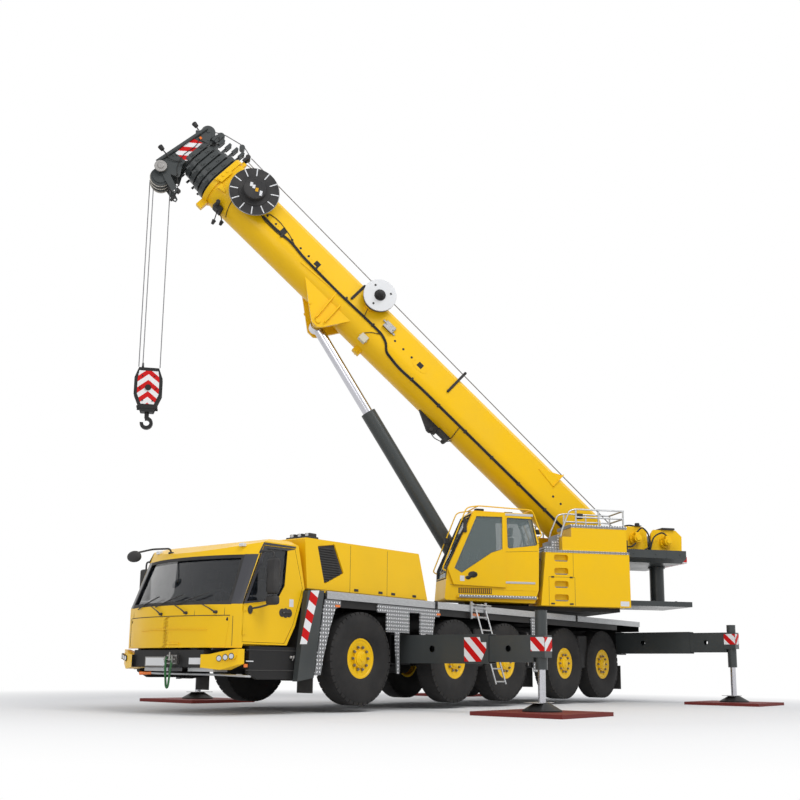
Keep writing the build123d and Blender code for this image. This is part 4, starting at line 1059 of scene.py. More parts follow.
def crane_cab_fittings():
    """Step plate, door rails, louvre, handle, seams, roof guard, lamps and mirror of the crane cab."""
    bm = bmesh.new()
    block(bm, (-0.346, 1.272), (1.345, 1.352), (2.075, 2.13))
    block(bm, (-0.346, 1.272), (1.29, 1.352), (2.122, 2.134))
    show(bm, "crane_step_plate", ON_CRANE_CAB, "chequer_upper", 0.003)
    bm = bmesh.new()
    block(bm, (-0.335, 0.300), (1.2905, 1.2975), (2.385, 2.425))
    block(bm, (-0.335, 0.300), (1.2970, 1.2985), (2.397, 2.413))
    block(bm, (-0.30, 0.32), (1.2905, 1.2985), (3.765, 3.812))
    show(bm, "crane_door_rails", ON_CRANE_CAB, "aluminium", 0.003)
    # Black sheet behind the slats: painted shade in the louvre's openings.
    bm = bmesh.new()
    block(bm, (0.585, 1.275), (1.2905, 1.2925), (2.165, 2.275))
    show(bm, "crane_cab_louvre_shade_sheet", ON_CRANE_CAB, "hose", smooth=False)
    # The slats are a darker yellow than the cab: painted shade on them.
    bm = bmesh.new()
    for step in range(16):
        x = 0.60 + step * 0.042
        block(bm, (x, x + 0.022), (1.2925, 1.30), (2.172, 2.268))
    show(bm, "crane_cab_louvre", ON_CRANE_CAB, "amber_and_shade_yellow", 0.002)
    bm = bmesh.new()
    rod(bm, (0.95, 1.336, 2.565), (1.10, 1.336, 2.47), 0.05, 0.03, 20)
    ball(bm, (0.99, 1.338, 2.54), 0.085, (1.15, 0.2, 0.75))
    ball(bm, (1.09, 1.338, 2.475), 0.045, (1.3, 0.3, 0.8))
    rod(bm, (0.92, 1.362, 2.575), (1.06, 1.362, 2.50), 0.014, segments=12)
    show(bm, "crane_door_handle", ON_CRANE_DOOR, "plastic")
    bm = bmesh.new()
    side_slab(bm, [(1.255, 2.405), (1.255, 2.51), (1.165, 2.51), (1.165, 2.405)], 1.3365, 0.002)
    show(bm, "crane_door_plate", ON_CRANE_DOOR, "white", smooth=False)
    bm = bmesh.new()
    rod(bm, (0.318, 1.2925, 2.36), (0.318, 1.2925, 3.76), 0.004, segments=6)
    rod(bm, (-0.40, 1.2905, 3.06), (0.29, 1.2905, 3.02), 0.003, segments=6)
    rod(bm, (-0.36, 1.2905, 2.295), (1.45, 1.2905, 2.335), 0.003, segments=6)
    show(bm, "crane_cab_seams", ON_CRANE_CAB, "rubber")
    rails = []
    for y in (0.515, 1.262):
        rails.append(rounded([(1.512, y, 2.60), (1.60, y, 2.64), (1.10, y, 3.90), (0.85, y, 3.945),
                              (-0.30, y, 3.905), (-0.50, y, 3.38), (-0.418, y, 3.33)], 0.09))
    rails += [[(x, 0.515, z), (x, 1.262, z)] for x, z in ((0.85, 3.945), (-0.28, 3.905))]
    hose("crane_cab_guard", rails, 0.013, ON_CRANE_CAB, "yellow")
    bm = bmesh.new()
    for x, y in ((0.80, 0.66), (0.80, 1.14), (0.1, 0.88)):
        block(bm, around(x, 0.09), around(y, 0.06), (3.852, 3.90))
    rod(bm, (0.1, 0.88, 3.84), (0.1, 0.88, 3.86), 0.09, segments=24)
    show(bm, "crane_roof_lamps", ON_CRANE_CAB, "plastic", 0.012)
    bm = bmesh.new()
    block(bm, (1.30, 1.385), (0.56, 0.66), (3.22, 3.34))
    pin(bm, (1.16, 3.60), 1.26, 1.36, 0.02, segments=12)
    block(bm, (1.12, 1.19), (1.33, 1.37), (3.38, 3.66))
    show(bm, "crane_cab_mirror", ON_CRANE_CAB, "plastic", 0.014)


def crane_cab_inside():
    """Operator's seat, consoles and display."""
    seat("crane_seat", ON_CRANE_CAB, ((0.18, 0.66), (0.64, 1.12), (2.62, 2.74)),
         ((0.10, 0.22), (0.65, 1.11), (2.72, 3.36)), ((0.11, 0.21), (0.75, 1.01), (3.38, 3.58)),
         (0.16, 0.88, 2.72), 0.12)
    bm = bmesh.new()
    block(bm, (0.22, 0.62), (0.68, 1.08), (2.12, 2.60))
    for y in (0.575, 1.185):
        block(bm, (0.20, 0.86), around(y, 0.035), (2.86, 2.94))
        block(bm, (0.30, 0.42), around(y, 0.03), (2.35, 2.88))
        rod(bm, (0.80, y, 2.93), (0.83, y, 3.08), 0.022, 0.03, 14)
    block(bm, (1.02, 1.06), (0.58, 0.80), (2.86, 3.06))
    rod(bm, (1.04, 0.62, 2.4), (1.04, 0.66, 2.88), 0.02, segments=10)
    show(bm, "crane_consoles", ON_CRANE_CAB, "plastic", 0.012)


def housing_walks():
    """Tread strips, stairs, rails, lamps, seams and blank plates on the machinery housings."""
    for side, mount in both_sides(ON_PLATFORM):
        bm = bmesh.new()
        block(bm, (-2.392, -0.52), (1.30, 1.329), (3.05, 3.098))
        block(bm, (-2.348, -1.115), (1.30, 1.329), (3.575, 3.64))
        block(bm, (-1.14, -1.10), (0.58, 1.30), (3.575, 3.64))
        show(bm, f"tread_strips_{side}", mount, "chequer_upper", 0.002)
        bm = bmesh.new()
        steps = [(-0.98, 3.06), (-0.98, 3.44), (-0.87, 3.44), (-0.87, 3.31), (-0.74, 3.31), (-0.74, 3.19),
                 (-0.60, 3.19), (-0.60, 3.06)]
        side_slab(bm, steps, 0.66, 0.5)
        show(bm, f"stair_{side}", mount, "chequer_upper", 0.004)
        rails = []
        for y in (1.29, 0.62):
            rails.append(rounded([(-0.90, y, 3.38), (-0.94, y, 3.55), (-1.10, y, 3.93), (-1.24, y, 3.965),
                                  (-2.30, y, 3.965)], 0.10))
            rails.append([(-1.24, y, 3.80), (-2.30, y, 3.80)])
        for x in (-1.24, -1.74, -2.29):
            rails.append([(x, 0.62, 3.58), (x, 0.62, 3.965)])
        rails += [[(-2.29, 0.62, z), (-2.29, 1.29, z)] for z in (3.965, 3.80)]
        hose(f"walk_rails_{side}", rails, 0.017, mount, "aluminium")
        bm = bmesh.new()
        block(bm, (-1.40, -1.27), (1.20, 1.30), (3.77, 3.88))
        show(bm, f"walk_lamp_{side}", mount, "plastic", 0.014)
        bm = bmesh.new()
        block(bm, (-1.272, -1.264), (1.215, 1.285), (3.785, 3.865))
        show(bm, f"walk_lamp_glass_{side}", mount, "lamp", 0.002)
        bm = bmesh.new()
        for z in (2.056, 2.328, 2.594, 2.865):
            side_slab(bm, [(-1.03, z + 0.005), (-0.75, z + 0.005), (-0.75, z + 0.022), (-1.03, z + 0.022)],
                      1.236, 0.078)
        show(bm, f"pocket_treads_{side}", mount, "chequer_top", 0.002)
        bm = bmesh.new()
        for x in (-0.62, -1.18):
            block(bm, around(x, 0.003), (UPPER_FACE, 1.3215), (1.965, 2.545))
        block(bm, (-1.18, -0.62), (UPPER_FACE, 1.3215), (2.542, 2.548))
        block(bm, (-1.153, -1.147), (UPPER_FACE, 1.3215), (2.548, 3.045))
        for x in (-0.70, -1.10):
            block(bm, around(x, 0.04), (UPPER_FACE, 1.3275), (1.99, 2.02))
            block(bm, around(x, 0.03), (UPPER_FACE, 1.329), (2.53, 2.56))
        show(bm, f"access_door_seams_{side}", mount, "rubber", 0.001)
        bm = bmesh.new()
        side_slab(bm, [(-2.17, 1.985), (-2.36, 1.985), (-2.36, 2.085), (-2.17, 2.085)], UPPER_FACE, 0.002)
        show(bm, f"housing_plate_{side}", mount, "white", smooth=False)


WINCH_MOTORS = ((-2.80, 3.47), (-3.50, 3.42))
WINCH_DRUMS = ((-2.80, 3.47), (-3.50, 3.44))


def winch_fittings():
    """Bolts, hoses, covers, beacon and wound rope of both winches, and stripes and bolts of their slab."""
    bm = bmesh.new()
    for sign in SIDES.values():
        for x, z in WINCH_MOTORS:
            for right, up in round_places(10, 0.108):
                pin(bm, (x + right, z + up), sign * 0.80, sign * 0.814, 0.011, segments=6)
            pin(bm, (x, z), sign * 0.93, sign * 0.965, 0.062, 0.05, 20)
            block(bm, around(x, 0.05), y_limits(sign, 0.82, 0.90), (z + 0.07, z + 0.13))
    show(bm, "winch_bolts", ON_PLATFORM, "yellow", 0.004)
    routes = (([(-2.80, 0.86, 3.60), (-2.90, 0.90, 3.72), (-3.05, 0.88, 3.60), (-3.12, 0.86, 3.32),
                (-2.98, 0.84, 3.23)], 0.10),
              ([(-3.50, 0.86, 3.54), (-3.36, 0.93, 3.62), (-3.16, 0.90, 3.52), (-3.10, 0.86, 3.24)], 0.10),
              ([(-2.75, 0.90, 3.36), (-2.62, 0.95, 3.26), (-2.48, 0.90, 3.30), (-2.43, 0.80, 3.42)], 0.07),
              ([(-2.45, 0.55, 3.70), (-2.75, 0.60, 3.80), (-3.05, 0.62, 3.72), (-3.12, 0.62, 3.50)], 0.10))
    lines = [rounded([(x, sign * y, z) for x, y, z in route], bend)
             for sign in SIDES.values() for route, bend in routes]
    hose("winch_hoses", lines, 0.017, ON_PLATFORM)
    bm = bmesh.new()
    block(bm, (-2.95, -2.80), (0.66, 0.80), (3.745, 3.765))
    rod(bm, (-2.875, 0.73, 3.76), (-2.875, 0.73, 3.82), 0.055, 0.05, 20)
    block(bm, (-3.72, -3.42), (0.42, 0.80), (3.69, 3.735))
    block(bm, (-2.52, -2.42), (0.70, 1.0), (3.22, 3.40))
    show(bm, "winch_covers", ON_PLATFORM, "plastic", 0.012)
    bm = bmesh.new()
    for x, z in WINCH_DRUMS:
        pin(bm, (x, z), -0.595, 0.595, 0.213, segments=40)
    for vert in bm.verts:
        vert.co.y = max(-0.597, min(0.597, vert.co.y))
    show(bm, "winch_rope_layers", ON_PLATFORM, "rope_drum")
    bm = bmesh.new()
    for sign in SIDES.values():
        block(bm, (-3.995, -3.84), y_limits(sign, 0.7605, 0.765), (2.995, 3.11))
    block(bm, (-4.005, -4.0005), (-0.74, 0.74), (2.995, 3.11))
    show(bm, "slab_stripes", ON_PLATFORM, "stripes_upper", smooth=False)
    bm = bmesh.new()
    for sign in SIDES.values():
        for x in (-2.62, -3.12, -3.68):
            pin(bm, (x, 3.125), sign * 1.071, sign * 1.080, 0.020, segments=6)
        for x in (-2.70, -3.25, -3.78):
            rod(bm, (x, sign * 0.62, 2.16), (x, sign * 0.62, 2.172), 0.026, segments=6)
        block(bm, (-3.40, -3.36), y_limits(sign, 1.0705, 1.073), (3.045, 3.205))
    for right, up in round_places(12, 0.178):
        rod(bm, (-3.66 + right, up, 2.16), (-3.66 + right, up, 2.178), 0.013, segments=6)
    rod(bm, (-3.66, 0, 2.158), (-3.66, 0, 2.172), 0.205, segments=36)
    rod(bm, (-3.66, 0, 2.925), (-3.66, 0, 2.952), 0.185, segments=36)
    show(bm, "slab_bolts", ON_PLATFORM, "grey", 0.002)


def platform_fittings():
    """Caps on the boom's and the cylinder's pins, swivel hoses and the bolted slew ring."""
    bm = bmesh.new()
    for sign in SIDES.values():
        pin(bm, (PIVOT[0], PIVOT[2]), sign * 0.52, sign * 0.585, 0.15, 0.14, 32)
        for right, up in round_places(6, 0.11):
            pin(bm, (PIVOT[0] + right, PIVOT[2] + up), sign * 0.585, sign * 0.597, 0.014, segments=6)
        pin(bm, (0.56, 2.35), sign * 0.29, sign * 0.305, 0.085, segments=28)
    show(bm, "pin_caps", ON_PLATFORM, "yellow", 0.004)
    lines = [rounded([(-0.6, y, 2.05), (0.1, y, 2.10), (0.35, y * 1.1, 2.35), (0.2, y * 1.2, 2.7)], 0.2)
             for y in (0.31, 0.35)]
    hose("swivel_hoses", lines, 0.018, ON_PLATFORM)
    bm = bmesh.new()
    rod(bm, (0, 0, 1.795), (0, 0, 1.803), 0.78, segments=72)
    for x, y in round_places(48, 0.735):
        rod(bm, (x, y, 1.803), (x, y, 1.811), 0.014, segments=6)
    show(bm, "slew_ring", (UPPER, "carrier"), "steel", 0.003)


for build in (crane_cab_glazing, crane_cab_fittings, crane_cab_inside, housing_walks, winch_fittings,
              platform_fittings):
    build()


# ---------- boom ----------
def skin(height):
    """Half width of the base section, whose lower part is round."""
    return sqrt(BOOM_FACE ** 2 - max(0.0, 0.351 - height) ** 2)


def boom_line():
    """Hoses, loose leads, clips, holes drawn as black discs of painted shade, and oval plates along the
    boom's left side.
    """
    line = [(9.87, 0.40), (9.51, 0.39), (9.04, 0.43), (8.69, 0.38), (7.64, 0.36), (6.78, 0.38), (6.32, 0.38),
            (6.12, 0.30), (6.0, 0.17), (5.57, 0.12), (4.92, 0.145), (3.72, 0.145), (2.2, 0.145), (0.85, 0.14),
            (0.2, 0.14)]
    runs = [rounded([(l, skin(h + up) + off, h + up) for l, h in line], 0.15)
            for off, up in ((0.016, 0.0), (0.020, 0.026))]
    hose("boom_hoses", runs, 0.015, ON_BOOM)
    loose = (([(9.85, 0.44, 0.50), (9.81, 0.44, 0.56), (9.58, 0.44, 0.60), (9.21, 0.44, 0.54),
               (8.88, 0.44, 0.42), (8.72, 0.445, 0.38)], 0.12),
             ([(10.0, 0.44, 0.44), (9.80, 0.44, 0.36), (9.35, 0.44, 0.37), (9.0, 0.44, 0.46)], 0.12),
             ([(6.93, 0.55, 0.62), (6.90, 0.47, 0.50), (6.86, 0.45, 0.40)], 0.04),
             ([(10.56, 0.44, 0.28), (10.55, 0.39, 0.14), (10.50, 0.25, -0.02), (10.47, 0.12, -0.075)], 0.06),
             ([(3.75, 0.405, 0.15), (3.74, 0.335, 0.05), (3.72, 0.23, -0.03), (3.71, 0.10, -0.09)], 0.08),
             ([(6.62, 0.40, 0.14), (6.52, 0.43, 0.26), (6.36, 0.446, 0.36)], 0.04))
    hose("boom_leads", [rounded(route, bend) for route, bend in loose], 0.008, ON_BOOM)
    bm = bmesh.new()
    for l in (9.3, 8.3, 7.4, 6.6, 5.2, 4.4, 3.6, 2.8, 2.0, 1.2):
        h = 0.385 if l > 6.2 else 0.145
        block(bm, around(l, 0.02), (skin(h) - 0.01, skin(h) + 0.042), (h - 0.025, h + 0.055))
    show(bm, "hose_clips", ON_BOOM, "plastic", 0.006)
    # Black discs and slots in place of the boom's holes: painted shade inside them.
    bm = bmesh.new()
    for l in (9.82, 9.57, 9.19, 9.09, 8.84, 8.6, 8.2, 6.03, 5.78, 5.53, 5.13, 1.26, 1.03):
        pin(bm, (l, 0.50), 0.4302, 0.4312, 0.026, segments=20)
    for l in (9.34, 8.35, 5.28):
        block(bm, around(l, 0.065), (0.432, 0.437), (0.45, 0.56))
    show(bm, "boom_hole_shade", ON_BOOM, "hose", smooth=False)
    bm = bmesh.new()
    for l in (9.34, 8.35, 5.28):
        plate = pin(bm, (0, 0), 0.430, 0.435, 0.12, segments=32)
        bmesh.ops.transform(bm, matrix=Matrix.Translation((l, 0, 0.505)) @ Matrix.Diagonal((1.75, 1, 1, 1)),
                            verts=plate)
        for aside in (-0.16, 0.16):
            pin(bm, (l + aside, 0.505), 0.435, 0.441, 0.016, segments=6)
    show(bm, "boom_side_plates", ON_BOOM, "yellow", 0.002)


def boom_brackets():
    """Welded gussets, boxes, guide bars and the clip under the boom."""
    for side, mount in both_sides(ON_BOOM):
        bm = bmesh.new()
        for points in ([(8.62, 0.27), (8.62, 0.30), (7.64, 0.37), (7.64, 0.34)],
                       [(7.65, 0.36), (7.62, 0.36), (7.54, -0.36), (7.57, -0.36)],
                       [(7.40, 0.20), (7.37, 0.20), (7.34, -0.30), (7.37, -0.30)]):
            side_slab(bm, points, 0.36, 0.082)
        pin(bm, (7.88, -0.20), 0.37, 0.385, 0.045, segments=24)
        show(bm, f"lug_gussets_{side}", mount, "yellow", 0.004)
        bm = bmesh.new()
        side_slab(bm, [(1.90, 0.72), (1.77, 0.80), (1.42, 1.0), (1.40, 1.0), (1.40, 0.66), (1.43, 0.66)],
                  0.43, 0.014)
        slab(bm, [(1.40, 0.42, 0.66), (1.42, 0.42, 0.66), (1.42, 0.42, 1.02), (1.40, 0.42, 1.02)],
             (0, 1, 0), 0.05)
        show(bm, f"rest_brackets_{side}", mount, "yellow", 0.004)
    bm = bmesh.new()
    block(bm, (6.19, 6.45), (0.43, 0.50), (0.54, 0.70))
    block(bm, (6.12, 6.19), (0.43, 0.455), (0.56, 0.60))
    block(bm, (6.45, 6.52), (0.43, 0.455), (0.64, 0.68))
    for l in (6.22, 6.42):
        pin(bm, (l, 0.62), 0.50, 0.512, 0.02, segments=12)
    show(bm, "valve_box", ON_BOOM, "steel", 0.01)
    bm = bmesh.new()
    block(bm, (6.46, 6.64), (0.30, 0.42), (-0.02, 0.14))
    block(bm, (6.44, 6.66), (0.30, 0.40), (0.05, 0.07))
    show(bm, "junction_box", ON_BOOM, "cream", 0.01)
    for name, l, low, high in (("low", 4.47, 0.53, 1.10), ("high", 7.32, 0.50, 0.90)):
        bm = bmesh.new()
        block(bm, around(l, 0.028), (0.432, 0.452), (low, high))
        for h in (low, high):
            pin(bm, (l, h), 0.432, 0.462, 0.028, segments=20)
            pin(bm, (l, h), 0.46, 0.474, 0.014, segments=6)
        if name == "low":
            block(bm, around(l, 0.03), (-0.30, 0.44), (1.06, 1.12))
        show(bm, f"guide_bar_{name}", ON_BOOM, "plastic", 0.003)
    bm = bmesh.new()
    block(bm, (6.40, 6.58), (-0.07, 0.07), (-0.18, -0.06))
    pin(bm, (6.48, -0.15), -0.10, 0.10, 0.03, segments=16)
    show(bm, "belly_clip", ON_BOOM, "yellow", 0.01)
    bm = bmesh.new()
    side_slab(bm, [(4.65, -0.07), (4.05, -0.07), (4.02, -0.24), (4.20, -0.30)], -0.06, 0.12)
    pin(bm, (4.16, -0.23), -0.11, 0.11, 0.05, segments=20)
    block(bm, (3.72, 4.05), (-0.09, 0.09), (-0.17, -0.06))
    pin(bm, (3.78, -0.18), -0.12, 0.12, 0.055, segments=20)
    show(bm, "belly_catch", ON_BOOM, "plastic", 0.01)
    hose("belly_cable", rounded([(4.15, 0.05, -0.28), (3.98, 0.06, -0.32), (3.80, 0.05, -0.26),
                                 (3.66, 0.04, -0.08)], 0.05), 0.01, ON_BOOM)


def cable_reels():
    """Spokes, rims, covers and blank plates of both cable reels."""
    bm = bmesh.new()
    for step in range(12):
        spoke = block(bm, (0.345, 0.512), (0.735, 0.742), (-0.011, 0.011))
        bmesh.ops.rotate(bm, verts=spoke, cent=(0, 0, 0),
                         matrix=Matrix.Rotation(2 * pi * step / 12 + 0.12, 3, "Y"))
    bmesh.ops.translate(bm, vec=(REEL[0], 0, REEL[1]), verts=bm.verts)
    show(bm, "reel_spokes", ON_BOOM, "white", smooth=False)
    bm = bmesh.new()
    wire_ring(bm, (0.52, 0.712, 0), 0.012, (0, 1, 0), 10, 64)
    bmesh.ops.translate(bm, vec=(REEL[0], 0, REEL[1]), verts=bm.verts)
    show(bm, "reel_rim", ON_BOOM, "steel")
    bm = bmesh.new()
    pin(bm, REEL, 0.735, 0.752, 0.335, 0.325, 48)
    pin(bm, REEL, 0.86, 0.875, 0.235, 0.222, 48)
    for right, up in round_places(8, 0.195):
        pin(bm, (REEL[0] + right, REEL[1] + up), 0.875, 0.882, 0.008, segments=6)
    show(bm, "reel_cover", ON_BOOM, "plastic", 0.004)
    for name, material, labels in (
            ("reel_plates", "white", ((10.41, 0.575, 0.028, 0.045), (10.34, 0.575, 0.028, 0.04),
                                      (10.14, 0.575, 0.028, 0.055))),
            ("reel_plate_amber", "amber_and_shade_yellow", ((10.25, 0.57, 0.03, 0.04),))):
        bm = bmesh.new()
        for l, h, half_width, half_height in labels:
            label = block(bm, around(0, half_width), (0.875, 0.878), around(0, half_height))
            turn = Matrix.Translation((l, 0, h)) @ Matrix.Rotation(radians(35), 4, "Y")
            bmesh.ops.transform(bm, matrix=turn, verts=label)
        show(bm, name, ON_BOOM, material, smooth=False)
    l, h = LEAD_REEL
    bm = bmesh.new()
    ball(bm, (l, 0.70, h), 0.085, (1, 1.1, 1))
    pin(bm, LEAD_REEL, 0.65, 0.67, 0.125, 0.12, 28)
    for angle in (0.4, 2.2, 4.6):
        block(bm, around(l + 0.24 * cos(angle), 0.02), (0.65, 0.655), around(h + 0.24 * sin(angle), 0.02))
    show(bm, "lead_reel_knob", ON_BOOM, "plastic")
    bm = bmesh.new()
    wire_ring(bm, (0.35, 0.638, 0), 0.009, (0, 1, 0), 10, 48)
    bmesh.ops.translate(bm, vec=(l, 0, h), verts=bm.verts)
    show(bm, "lead_reel_rim", ON_BOOM, "white")


def collar_fittings():
    """Ribs, lugs and holes on the base section's collar, and the guide rollers on the posts."""
    bm = bmesh.new()
    for sign in SIDES.values():
        side_slab(bm, [(10.97, 0.62), (11.12, 0.62), (11.12, 0.22), (10.97, 0.30)], sign * 0.462, sign * 0.03)
        for h in (0.30, 0.42, 0.55):
            pin(bm, (11.06, h), sign * 0.49, sign * 0.505, 0.032, segments=20)
        side_slab(bm, [(10.97, 0.30), (10.78, 0.22), (10.78, 0.19), (10.97, 0.15)], sign * 0.43, sign * 0.02)
    block(bm, (11.00, 11.10), (0.09, 0.19), (0.965, 1.10))
    block(bm, (10.98, 11.12), (-0.06, 0.06), (-0.30, -0.09))
    show(bm, "base_collar_ribs", ON_BOOM, "yellow", 0.004)
    frame_bars = [[(11.08, 0.14, 1.10), (10.73, 0.14, 1.17), (10.95, 0.14, 0.96)],
                  [(11.08, 0.14, 1.10), (11.20, 0.14, 1.19), (10.73, 0.14, 1.17)]]
    hose("collar_frame", frame_bars, 0.014, ON_BOOM, "steel")
    bm = bmesh.new()
    pin(bm, (11.10, 1.24), 0.05, 0.23, 0.055, segments=24)
    block(bm, (11.07, 11.13), (0.045, 0.06), (1.08, 1.27))
    block(bm, (11.07, 11.13), (0.22, 0.235), (1.08, 1.27))
    show(bm, "collar_roller", ON_BOOM, "plastic", 0.004)
    bm = bmesh.new()
    pin(bm, (10.73, -0.05), 0.20, 0.42, 0.03, 0.045, 20)
    pin(bm, (10.73, -0.05), 0.42, 0.435, 0.047, segments=20)
    block(bm, (10.60, 10.80), (0.06, 0.28), (-0.14, -0.02))
    for l, low, y in ((10.549, -0.34, 0.22), (10.453, -0.20, 0.12)):
        rod(bm, (l + 0.12, y, -0.12), (l, y, low), 0.012, segments=10)
        rod(bm, (l, y, low), (l - 0.03, y, low - 0.09), 0.045, 0.03, 16)
    show(bm, "collar_lamps", ON_BOOM, "plastic", 0.004)
    for number, top in ((2, 1.199), (3, 1.173), (4, 1.13), (5, 1.095), (6, 1.06)):
        l = 11.14 + (number - 2) * 0.16 + 0.095
        side = 0.43 - 0.035 * (number - 1) + 0.03
        bm = bmesh.new()
        pin(bm, (l, top + 0.02), 0.09, 0.19, 0.036, segments=20)
        pin(bm, (l, top + 0.02), 0.06, 0.22, 0.014, segments=10)
        block(bm, around(l, 0.03), (0.065, 0.08), (top - 0.12, top + 0.05))
        block(bm, around(l, 0.03), (0.20, 0.215), (top - 0.12, top + 0.05))
        for sign in (-1, 1):
            for h in (0.02, 0.30, 0.58):
                block(bm, (l - 0.02, l + 0.03), y_limits(sign, side, side + 0.012), (h, h + 0.10))
                rod(bm, (l, sign * (side + 0.01), h + 0.05), (l, sign * (side + 0.022), h + 0.05), 0.016,
                    segments=6)
        show(bm, f"section_fittings_{number}", (BOOM, f"boom_section_{number}"), "grey", 0.003)


def head_fittings():
    """Striped panels, pulleys, crossbars, lamp stalks, leads and limit switch at the boom head."""
    panel = [(12.158, 0.637), (11.938, 0.723), (11.828, 0.564), (11.859, 0.162), (12.154, 0.122)]
    for side, sign in SIDES.items():
        bm = bmesh.new()
        side_slab(bm, panel, sign * 0.2365, sign * 0.004)
        show(bm, f"head_panel_{side}", ON_HEAD, "stripes_head", smooth=False)
    bm = bmesh.new()
    for y in (-0.19, -0.06, 0.06, 0.19):
        pin(bm, (12.06, 1.01), y - 0.018, y + 0.018, 0.15, segments=40)
    pin(bm, (12.06, 1.01), -0.25, 0.25, 0.04, segments=20)
    pin(bm, (11.88, 1.22), -0.05, 0.05, 0.08, segments=28)
    block(bm, (11.83, 11.93), (-0.075, -0.06), (1.02, 1.26))
    block(bm, (11.83, 11.93), (0.06, 0.075), (1.02, 1.26))
    pin(bm, (11.36, 1.33), 0.03, 0.17, 0.06, segments=24)
    block(bm, (11.78, 11.90), (-0.20, 0.20), (0.96, 1.04))
    show(bm, "head_pulleys", ON_HEAD, "grey", 0.004)
    bm = bmesh.new()
    for h in (0.82, 0.28, -0.05):
        block(bm, (12.17, 12.235), (-0.262, 0.262), around(h, 0.02))
    pin(bm, (12.10, 0.10), -0.235, 0.235, 0.03, segments=16)
    pin(bm, (11.95, 0.40), -0.235, 0.235, 0.03, segments=16)
    for sign in (-1, 1):
        for l, h in ((12.05, 0.80), (11.92, 0.86), (12.14, 0.05), (12.0, 0.0), (11.92, 0.08), (12.19, -0.18)):
            pin(bm, (l, h), sign * 0.235, sign * 0.248, 0.018, segments=6)
    show(bm, "head_crossbars", ON_HEAD, "grey", 0.004)
    bm = bmesh.new()
    pin(bm, (12.116, -0.339), 0.30, 0.325, 0.135, 0.125, 36)
    pin(bm, (12.116, -0.339), 0.325, 0.34, 0.07, 0.06, 24)
    pin(bm, (12.116, -0.339), -0.30, -0.325, 0.135, 0.125, 36)
    show(bm, "head_boss_caps", ON_HEAD, "steel", 0.004)
    stalks = (((12.098, 0.27, 0.835), (12.33, 0.27, 0.88)), ((12.174, 0.30, -0.063), (12.40, 0.30, -0.045)))
    for number, (start, end) in enumerate(stalks):
        bm = bmesh.new()
        l, y, h = end
        rod(bm, start, end, 0.014, segments=10)
        rod(bm, (l - 0.05, y, h), (l + 0.04, y, h + 0.01), 0.045, 0.055, 20)
        rod(bm, (l + 0.04, y, h + 0.01), (l + 0.052, y, h + 0.012), 0.056, 0.05, 20)
        show(bm, f"head_stalk_{number}", ON_HEAD, "plastic", 0.003)
    bm = bmesh.new()
    block(bm, (12.02, 12.075), (0.24, 0.275), (0.735, 0.785))
    show(bm, "head_marker", ON_HEAD, "orange", 0.008)
    bm = bmesh.new()
    block(bm, (11.70, 11.83), (-0.10, 0.10), (-0.47, -0.40))
    rod(bm, (11.55, 0.13, -0.44), (11.50, 0.13, -0.62), 0.02, segments=12)
    rod(bm, (11.50, 0.13, -0.60), (11.49, 0.13, -0.68), 0.035, 0.03, 14)
    block(bm, (11.50, 11.60), (0.08, 0.18), (-0.45, -0.37))
    show(bm, "limit_switch", ON_HEAD, "plastic", 0.006)
    leads = (([(12.10, 0.25, 0.82), (11.98, 0.26, 0.60), (12.02, 0.255, 0.20), (11.90, 0.25, -0.10),
               (11.62, 0.20, -0.33)], 0.12),
             ([(12.15, 0.27, -0.08), (12.02, 0.262, -0.02), (11.90, 0.255, 0.12), (11.78, 0.235, 0.30)],
              0.08), ([(11.88, 0.10, 1.15), (11.72, 0.16, 1.02), (11.80, 0.22, 0.82), (12.0, 0.25, 0.74)],
                      0.08))
    hose("head_leads", [rounded(route, bend) for route, bend in leads], 0.008, ON_HEAD)
    bm = bmesh.new()
    for y in (-0.135, 0.0, 0.135):
        wire_ring(bm, (0.203, y, 0), 0.013, (0, 1, 0), 8, 40)
    bmesh.ops.translate(bm, vec=SHEAVE_AXLE, verts=bm.verts)
    show(bm, "head_sheave_rims", ON_HEAD, "sheave")


ROPE_RADIUS = 0.011


def hoist_line():
    """Hoist rope from the winch along the boom, and its short run over the head."""
    start, end = Vector((-0.42, 0.0, 1.14)), Vector((11.05, 0.14, 1.30))
    route = [start.lerp(end, step / 40) for step in range(41)]
    rope = hose("hoist_rope_run", route, ROPE_RADIUS, (BOOM, None), "rope")
    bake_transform(rope)
    run = rounded([(11.08, 0.14, 1.302), (11.36, 0.11, 1.395), (11.88, 0.02, 1.30), (12.08, 0.0, 1.165),
                   (12.20, 0.0, 1.05), (12.23, 0.0, 0.4), (12.215, 0.0, -0.42)], 0.12)
    hose("hoist_rope_head", run, ROPE_RADIUS, ON_HEAD, "rope")


def block_fittings():
    """Bolts, axle cover, sockets and striped sheets of the hook block."""
    bm = bmesh.new()
    for sign in (-1, 1):
        for x, z in ((0.12, -4.36), (-0.12, -4.36), (0.16, -4.62), (-0.16, -4.62), (0.10, -4.88),
                     (-0.10, -4.88)):
            pin(bm, (x, z), sign * 0.095, sign * 0.112, 0.016, segments=6)
        pin(bm, (0, -4.6), sign * 0.095, sign * 0.135, 0.065, 0.055, 24)
        block(bm, (-0.21, 0.21), y_limits(sign, 0.095, 0.102), (-5.04, -4.99))
    rod(bm, (0.13, 0, -4.28), (0.13, 0, -4.06), 0.03, 0.02, 14)
    block(bm, (0.09, 0.17), (-0.035, 0.035), (-4.34, -4.24))
    show(bm, "block_bolts", ON_HOOK, "black", 0.002)
    bm = bmesh.new()
    outline = [(-0.19, -4.25), (0.19, -4.25), (0.215, -4.42), (0.215, -4.74), (0.13, -4.95), (-0.13, -4.95),
               (-0.215, -4.74), (-0.215, -4.42)]
    for sign in (-1, 1):
        side_slab(bm, outline, sign * 0.0952, sign * 0.0025)
    show(bm, "block_sheets", ON_HOOK, "chevron", smooth=False)


for build in (boom_line, boom_brackets, cable_reels, collar_fittings, head_fittings, hoist_line,
              block_fittings):
    build()


